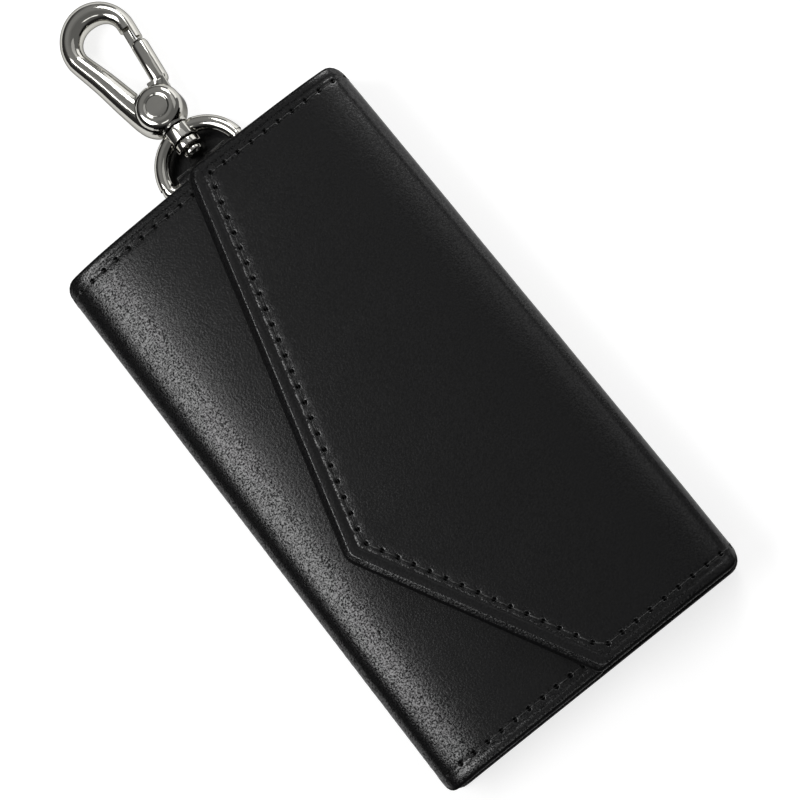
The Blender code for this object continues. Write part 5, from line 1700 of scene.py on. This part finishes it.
# Key row
PLATE_LOW, PLATE_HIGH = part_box("key_plate")
AXLE_LOW, AXLE_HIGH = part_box("hook_axle")
AXLE_RADIUS = (AXLE_HIGH.z - AXLE_LOW.z) / 2
AXLE_PLACE = Vector((0, (AXLE_LOW.y + AXLE_HIGH.y) / 2, (AXLE_LOW.z + AXLE_HIGH.z) / 2))
AXLE_CLEARANCE = 0.0003
BARREL_RADIUS = PLATE_HIGH.z - AXLE_PLACE.z
KEY_PLATE_THICKNESS = 0.0008
KEY_PLATE_CORNER = 0.002
KEY_PLATE_EASE = 0.00014
KEY_RIB_HALF_LENGTH = 0.0180
KEY_RIB_HALF_WIDTH = 0.0008
KEY_RIB_HEIGHT = 0.00028
KEY_RIB_EASE_SHARE = 0.9
BARREL_SIDES = 48
AXLE_SIDES = 32
AXLE_EASE = 0.0002
KEY_HOOK_COUNT = 6
KEY_HOOK_PITCH_SHARE = 0.16
KEY_EYE_WIDTH = 0.0034
KEY_EYE_CLEARANCE = 0.0003
KEY_WIRE_RADIUS = 0.00065
KEY_LOOP_RADIUS = 0.0027
KEY_NECK_LENGTH = 0.0042
KEY_LOOP_LENGTH = 0.0155
KEY_TIP_LENGTH = 0.0045
KEY_TIP_SHARE = 1.25
KEY_VOXEL = 0.00011
KEY_SPRING_THICKNESS = 0.00035
KEY_SPRING_WIDTH = 0.0011
KEY_SPRING_EASE = 0.00008
KEY_SPRING_GAP = 0.0003
KEY_SPRING_BOW = -0.00022
KEY_SPRING_ROOT = (-0.0006, 0.0005)
KEY_SPRING_ROOT_SHARE = 0.6
KEY_SPRING_STEPS = 8
KEY_SHOULDER_STEPS = 4
KEY_LOOP_STEPS = 12
KEY_STEPS_BETWEEN = 5
PRISM_SHARP_ANGLE = 60
KEY_FILLET_ROUNDS = 3
KEY_WIRE_ROUNDNESS = 5
RIVET_SEAT_HEIGHT = 0.00005
RIVET_RIM = 0.00018
RIVET_SHANK_RADIUS = 0.0010
RIVET_STEPS = 12


def prism(name, outline, low, high, material, ease=0.0, steps=2):
    """A flat piece of one outline between two heights, with its edges eased."""

    def build(form):
        face = form.faces.new([form.verts.new((x, y, low)) for x, y in outline])
        grown = bmesh.ops.extrude_face_region(form, geom=[face])["geom"]
        raised = [part for part in grown if isinstance(part, bmesh.types.BMVert)]
        bmesh.ops.translate(form, vec=(0, 0, high - low), verts=raised)
        if ease:
            sharp = [edge for edge in form.edges if edge.calc_face_angle(0) > math.radians(PRISM_SHARP_ANGLE)]
            bmesh.ops.bevel(form, geom=sharp, offset=ease, segments=steps, profile=0.5,
                            affect="EDGES")

    return solid(name, build, material)


def moved_copy(thing, name, shift):
    mesh = thing.data.copy()
    mesh.name = name
    mesh.transform(Matrix.Translation(shift))
    return link(name, mesh)


def key_hook_places():
    pitch = (PLATE_HIGH.x - PLATE_LOW.x) * KEY_HOOK_PITCH_SHARE
    return [(index - (KEY_HOOK_COUNT - 1) / 2) * pitch for index in range(KEY_HOOK_COUNT)]


def on_axle(name, radius, start, end, material, sides, ease=0.0):
    """A round bar on the axle's line, between two places along it."""
    shape = bar_profile(radius, end - start)
    if ease:
        shape = rounded_profile(shape, ease)
    return turned(name, shape, (start, AXLE_PLACE.y, AXLE_PLACE.z), "X", material, sides)


def axle_bore(start, end):
    return on_axle("bore", AXLE_RADIUS + AXLE_CLEARANCE, start - CUT_OVERRUN, end + CUT_OVERRUN,
                   NICKEL, AXLE_SIDES)


def make_key_plate():
    """A pressed plate, with the knuckles of its rolled barrel between the hooks."""
    room = KEY_EYE_WIDTH / 2 + KEY_EYE_CLEARANCE
    front, back = AXLE_PLACE.y, AXLE_PLACE.y + BARREL_RADIUS + KEY_EYE_CLEARANCE
    top = [(PLATE_HIGH.x, PLATE_HIGH.y), (PLATE_LOW.x, PLATE_HIGH.y)]
    comb = [(PLATE_LOW.x, front)]
    knuckles = []
    start = PLATE_LOW.x
    for x in key_hook_places():
        comb += [(x - room, front), (x - room, back), (x + room, back), (x + room, front)]
        knuckles.append((start, x - room))
        start = x + room
    comb.append((PLATE_HIGH.x, front))
    knuckles.append((start, PLATE_HIGH.x))
    low, top_z = PLATE_LOW.z, PLATE_LOW.z + KEY_PLATE_THICKNESS
    outline = rounded_corners(comb + top, [0.0] * len(comb) + [KEY_PLATE_CORNER] * 2)
    plate = prism("key_plate_pressing", outline, low, top_z, NICKEL, KEY_PLATE_EASE)
    barrels = [on_axle("knuckle", BARREL_RADIUS, start, end, NICKEL, BARREL_SIDES, KEY_PLATE_EASE)
               for start, end in knuckles]
    rib_y = (back + PLATE_HIGH.y) / 2
    rib = box("rib", (-KEY_RIB_HALF_LENGTH, rib_y - KEY_RIB_HALF_WIDTH, low + KEY_PLATE_THICKNESS / 2),
              (KEY_RIB_HALF_LENGTH, rib_y + KEY_RIB_HALF_WIDTH, top_z + KEY_RIB_HEIGHT),
              NICKEL, None, KEY_RIB_HEIGHT * KEY_RIB_EASE_SHARE, 4)
    combined(plate, barrels + [rib], "UNION")
    combined(plate, [axle_bore(PLATE_LOW.x, PLATE_HIGH.x)], "DIFFERENCE")
    ridden(plate, "root", "key_plate")
    axle = on_axle("hook_axle_rod", AXLE_RADIUS, AXLE_LOW.x, AXLE_HIGH.x, SPRING_STEEL, AXLE_SIDES,
                   AXLE_EASE)
    ridden(axle, "root", "hook_axle")


def key_wire_way():
    """The hook's wire at x = 0: neck, shoulder, long side, round end and tip."""
    bend, axle = KEY_LOOP_RADIUS, AXLE_PLACE
    neck_end = axle.y - KEY_NECK_LENGTH
    centre = axle.y - KEY_LOOP_LENGTH
    points = [(0, axle.y - BARREL_RADIUS + KEY_WIRE_RADIUS, axle.z)]
    for step in range(KEY_SHOULDER_STEPS + 1):
        share = step / KEY_SHOULDER_STEPS
        points.append((-bend * (1 - math.cos(math.pi * share)) / 2, neck_end - bend * share, axle.z))
    points.append((-bend, (neck_end - bend + centre) / 2, axle.z))
    for step in range(KEY_LOOP_STEPS + 1):
        angle = math.pi * (1 + step / KEY_LOOP_STEPS)
        points.append((bend * math.cos(angle), centre + bend * math.sin(angle), axle.z))
    points.append((bend, centre + KEY_TIP_LENGTH, axle.z))
    shares = [1.0] * (len(points) - 1) + [KEY_TIP_SHARE]
    return smooth_way(points, shares, KEY_STEPS_BETWEEN)


def key_spring_outline():
    """The closing leaf's outline: a short root in the neck, then a bowed way to the tip."""
    start = Vector((KEY_WIRE_RADIUS + KEY_SPRING_GAP, AXLE_PLACE.y - KEY_NECK_LENGTH + KEY_WIRE_RADIUS))
    end = Vector((KEY_LOOP_RADIUS - KEY_WIRE_RADIUS - KEY_SPRING_GAP,
                  AXLE_PLACE.y - KEY_LOOP_LENGTH + KEY_TIP_LENGTH / 2))
    bow, back = Vector((KEY_SPRING_BOW, 0)), Vector((-KEY_SPRING_THICKNESS, 0))
    root = start + Vector(KEY_SPRING_ROOT)
    way = [root + (start - root) * KEY_SPRING_ROOT_SHARE, start]
    way += [start + (end - start) * i / KEY_SPRING_STEPS + bow * math.sin(math.pi * i / KEY_SPRING_STEPS)
            for i in range(1, KEY_SPRING_STEPS + 1)]
    return [tuple(p) for p in way] + [tuple(p + back) for p in way[::-1]]


def make_key_hooks():
    """Six wire hooks from one pattern, each with its eye on the axle and its closing leaf."""
    half = KEY_EYE_WIDTH / 2
    places, widths = key_wire_way()
    wire = tube("wire", places, KEY_WIRE_RADIUS, NICKEL, widths, resolution=KEY_WIRE_ROUNDNESS)
    eye = on_axle("eye", BARREL_RADIUS, -half, half, NICKEL, BARREL_SIDES)
    hook = cast("key_hook_pattern", [wire, eye], KEY_VOXEL, KEY_FILLET_ROUNDS, NICKEL)
    combined(hook, [axle_bore(-half, half)], "DIFFERENCE")
    z, rise = AXLE_PLACE.z, KEY_SPRING_WIDTH / 2
    leaf = prism("key_spring_pattern", key_spring_outline(), z - rise, z + rise, SPRING_STEEL,
                 KEY_SPRING_EASE)
    for index, x in enumerate(key_hook_places()):
        number = str(index + 1)
        body = "key_hook_" + number
        wire = moved_copy(hook, "key_hook_wire_" + number, (x, 0, 0))
        spring = moved_copy(leaf, "key_hook_leaf_" + number, (x, 0, 0))
        ridden(wire, body, "key_hook_" + number)
        ridden(spring, body, "key_hook_spring_" + number)
    discard(hook, leaf)


def make_plate_rivets():
    for side in ("left", "right"):
        node = "plate_rivet_" + side
        low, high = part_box(node)
        middle, radius = (low + high) / 2, (high.x - low.x) / 2
        seat = PLATE_LOW.z + KEY_PLATE_THICKNESS + RIVET_SEAT_HEIGHT
        dome = high.z - seat - RIVET_RIM
        angles = [math.pi / 2 * i / RIVET_STEPS for i in range(RIVET_STEPS + 1)]
        shape = [(radius * math.sin(a), seat + RIVET_RIM + dome * math.cos(a)) for a in angles]
        shape += [(radius, seat), (RIVET_SHANK_RADIUS, seat), (RIVET_SHANK_RADIUS, low.z), (0, low.z)]
        rivet = turned(node + "_dome", shape, (middle.x, middle.y, 0), "Z", NICKEL, BARREL_SIDES)
        ridden(rivet, "root", node)


make_key_plate()
make_key_hooks()
make_plate_rivets()


# Press stud
STUD_RIM_RISE = 0.00012
STUD_RIM_WIDTH = 0.0005
STUD_KNOB_RADIUS = 0.0018
STUD_SHANK_RADIUS = 0.0015
STUD_BORE_RADIUS = 0.0009
STUD_PIN_RADIUS = 0.0006
STUD_FLANGE_THICKNESS = 0.0004
STUD_BACK_THICKNESS = 0.00035
SOCKET_BORE_RADIUS = 0.0025
SOCKET_BARREL_RADIUS = 0.0031
SOCKET_THICKNESS = 0.0007
SOCKET_RADIUS = 0.0039
CAP_RADIUS = 0.0039
CAP_DISH = 0.00012
STUD_EASE = 0.00012
STUD_SEAT_RISE = 0.0001
STUD_WAIST_SHARE = 0.4
STUD_KNOB_RISE = 0.0002
STUD_KNOB_POWER = 0.8
STUD_KNOB_STEPS = 8
STUD_FOOT_WIDTH = 0.0002
STUD_FOOT_HEIGHT = 0.00015
STUD_RIM_SHARES = (0.7, 0.25)
STUD_GROOVE_SHARES = (0.62, 0.56, 0.44, 0.38)
STUD_GROOVE_DEPTH = 0.00012
SOCKET_EDGE_HEIGHT = 0.0002
SOCKET_SLOPE = ((0.0005, 0.00012), (0.0009, 0.00022))
SOCKET_LIP_SLOPE = (0.0009, 0.0006)
CAP_FLAT_SHARE = 0.7
CAP_EASE = 0.0001


def stud_part(name, shape, ease, body, node):
    """A turned part of the press stud, in line with the stud itself."""
    low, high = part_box("snap_stud")
    middle = (low + high) / 2
    part = turned(name, rounded_profile(shape, ease), (middle.x, middle.y, 0), "Z", GUNMETAL)
    ridden(part, body, node)


def make_stud():
    low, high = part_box("snap_stud")
    radius = (high.x - low.x) / 2
    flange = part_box("inner_flap_cover")[1].z + STUD_SEAT_RISE
    waist = flange + (high.z - flange) * STUD_WAIST_SHARE
    under, raised = flange - STUD_FLANGE_THICKNESS, flange + STUD_RIM_RISE
    angles = [math.pi / 2 * i / STUD_KNOB_STEPS for i in range(1, STUD_KNOB_STEPS + 1)]
    knob_rise = high.z - waist - STUD_KNOB_RISE
    ball = [(STUD_KNOB_RADIUS * math.sin(a) ** STUD_KNOB_POWER,
             waist + STUD_KNOB_RISE + knob_rise * math.cos(a)) for a in angles]
    outer_share, inner_share = STUD_RIM_SHARES
    shape = [(0, high.z)] + ball + [
        (STUD_SHANK_RADIUS, waist), (STUD_SHANK_RADIUS, flange + STUD_FOOT_HEIGHT),
        (STUD_SHANK_RADIUS + STUD_FOOT_WIDTH, flange), (radius - STUD_RIM_WIDTH, flange),
        (radius - STUD_RIM_WIDTH * outer_share, raised),
        (radius - STUD_RIM_WIDTH * inner_share, raised),
        (radius, flange), (radius, under), (STUD_SHANK_RADIUS, under), (STUD_SHANK_RADIUS, low.z),
        (STUD_BORE_RADIUS, low.z), (STUD_BORE_RADIUS, flange), (0, flange)]
    stud_part("snap_stud_post", shape, STUD_EASE, "inner_flap", "snap_stud")


def make_stud_back():
    low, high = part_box("snap_stud_back")
    radius, top = (high.x - low.x) / 2, low.z + STUD_BACK_THICKNESS
    groove = low.z + STUD_GROOVE_DEPTH
    a, b, c, d = (radius * share for share in STUD_GROOVE_SHARES)
    shape = [(0, high.z), (STUD_PIN_RADIUS, high.z), (STUD_PIN_RADIUS, top), (radius, top),
             (radius, low.z), (a, low.z), (b, groove), (c, groove), (d, low.z), (0, low.z)]
    stud_part("snap_stud_eyelet", shape, STUD_EASE, "inner_flap", "snap_stud_back")


def make_socket():
    low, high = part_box("snap_socket")
    radius, lip = SOCKET_RADIUS, SOCKET_BORE_RADIUS
    flange = low.z + SOCKET_THICKNESS
    (first, first_rise), (second, hollow) = SOCKET_SLOPE
    shape = [
        (lip, high.z), (SOCKET_BARREL_RADIUS, high.z), (SOCKET_BARREL_RADIUS, flange), (radius, flange),
        (radius, low.z + SOCKET_EDGE_HEIGHT), (radius - first, low.z + first_rise),
        (radius - second, low.z + hollow), (lip + SOCKET_LIP_SLOPE[0], low.z + hollow),
        (lip + SOCKET_LIP_SLOPE[1], low.z), (lip, low.z)]
    stud_part("snap_socket_ring", shape, STUD_EASE, "outer_flap", "snap_socket")


def make_cap():
    low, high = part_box("snap_cap")
    shape = [(0, high.z), (CAP_RADIUS * CAP_FLAT_SHARE, high.z), (CAP_RADIUS, high.z - CAP_DISH),
             (CAP_RADIUS, low.z), (0, low.z)]
    stud_part("snap_cap_disc", shape, CAP_EASE, "outer_flap", "snap_cap")


make_stud()
make_stud_back()
make_socket()
make_cap()


# Gate spring
GATE_SPRING_RADIUS = 0.0019
GATE_SPRING_WIRE_RADIUS = 0.00018
GATE_SPRING_PITCH = 0.00042
GATE_SPRING_TURNS = 1.75
GATE_SPRING_REACH = 0.0027
GATE_SPRING_STEPS = 40


def make_gate_spring():
    """A torsion spring round the rivet, with a straight leg at each end."""
    low = -SLOT_WIDTH / 2 + GATE_CLEARANCE + GATE_SPRING_WIRE_RADIUS
    coil = []
    for index in range(round(GATE_SPRING_TURNS * GATE_SPRING_STEPS) + 1):
        share = index / GATE_SPRING_STEPS
        angle = 2 * math.pi * share
        coil.append(HUB_PLACE + Vector((
            GATE_SPRING_RADIUS * math.cos(angle), GATE_SPRING_RADIUS * math.sin(angle),
            low + GATE_SPRING_PITCH * share)))
    leg = math.sqrt(GATE_SPRING_REACH ** 2 - GATE_SPRING_RADIUS ** 2)
    first = coil[0] - (coil[1] - coil[0]).normalized() * leg
    last = coil[-1] + (coil[-1] - coil[-2]).normalized() * leg
    spring = tube("gate_spring_coil", [first] + coil + [last], GATE_SPRING_WIRE_RADIUS, SPRING_STEEL,
                  resolution=THREAD_RESOLUTION)
    ridden(spring, "clasp", "gate_spring")


make_gate_spring()


# Floor and light
SKY_LEVEL = 0.25
FLOOR_GLOW = 0.75
FLOOR_GREY = 0.45
FLOOR_HALF = 3.0
FLOOR_LIFT = -0.0001
FLOOR_ROUGHNESS = 0.9

# Sky: brighter to the right and behind; value windows and the levels they give
SKY_LEAN = 0.5
SKY_RISE = (0.15, 0.6, 0.03, SKY_LEVEL)
SKY_DEPTH = (0.05, 0.35, 0.7, 1.2)

# Soft boxes: name, place, target, size and power in watts
LAMPS = (
    ("left_key", (-0.32, 0.13, 0.50), (0, 0, 0.01), (0.38, 0.27), 1.9),
    ("right_low", (0.55, 0.30, 0.16), (0, 0.06, 0.01), (0.40, 0.30), 0.5),
    ("right_sheen", (0.32, 0.13, 0.50), (0, 0, 0.01), (0.38, 0.27), 0.14),
    ("top_fill", (0.30, 0.42, 0.42), (0, 0, 0), (0.20, 0.20), 1.2),
    ("near_fill", (-0.12, -0.25, 0.53), (0, -0.03, 0.01), (0.22, 0.12), 0.15),
)


def make_floor():
    """A white floor that glows for the eye and for mirrors, but lights nothing."""
    mesh = reworked(bpy.data.meshes.new("studio_floor"), lambda form: bmesh.ops.create_grid(
        form, x_segments=1, y_segments=1, size=FLOOR_HALF))
    floor = link("studio_floor", mesh)
    floor.location.z = FLOOR_LIFT
    material, tree, shader = new_material("white_floor")
    for label, value in (("Base Color", (FLOOR_GREY, FLOOR_GREY, FLOOR_GREY, 1)),
                         ("Roughness", FLOOR_ROUGHNESS), ("Specular IOR Level", 0.0),
                         ("Emission Color", (1, 1, 1, 1))):
        shader.inputs[label].default_value = value
    path = add_node(tree, "ShaderNodeLightPath").outputs
    seen = math_node(tree, "MAXIMUM", path["Is Camera Ray"], path["Is Glossy Ray"])
    seen = math_node(tree, "MAXIMUM", seen, path["Is Transmission Ray"])
    tree.links.new(product(tree, seen, FLOOR_GLOW), shader.inputs["Emission Strength"])
    mesh.materials.append(material)


def area_light(name, place, target, size, power):
    """A soft box that looks from its place to the target."""
    lamp = bpy.data.lights.new(name, "AREA")
    lamp.shape = "RECTANGLE"
    lamp.size, lamp.size_y = size
    lamp.energy = power
    thing = link(name, lamp)
    thing.location = place
    way = Vector(target) - Vector(place)
    thing.rotation_euler = way.to_track_quat("-Z", "Y").to_euler()


def make_world():
    """A sky that the eye sees as white, with softer levels for light and mirrors."""
    world = bpy.data.worlds.new("studio")
    bpy.context.scene.world = world
    world.use_nodes = True
    tree = world.node_tree
    back = tree.nodes["Background"].inputs
    path = add_node(tree, "ShaderNodeLightPath").outputs
    where = add_node(tree, "ShaderNodeTexCoord").outputs["Generated"]
    split = add_node(tree, "ShaderNodeSeparateXYZ", {0: where}).outputs
    leaning = math_node(tree, "MULTIPLY_ADD", split["X"], SKY_LEAN, split["Z"])
    level = product(tree, ranged(tree, leaning, *SKY_RISE), ranged(tree, split["Y"], *SKY_DEPTH))
    strength = add_node(tree, "ShaderNodeMix", {
        0: path["Is Camera Ray"], 2: level, 3: 1.0}, data_type="FLOAT")
    back["Color"].default_value = (1, 1, 1, 1)
    tree.links.new(strength.outputs[0], back["Strength"])


make_floor()
make_world()
for lamp in LAMPS:
    area_light(*lamp)
bpy.context.scene.view_settings.view_transform = "Standard"
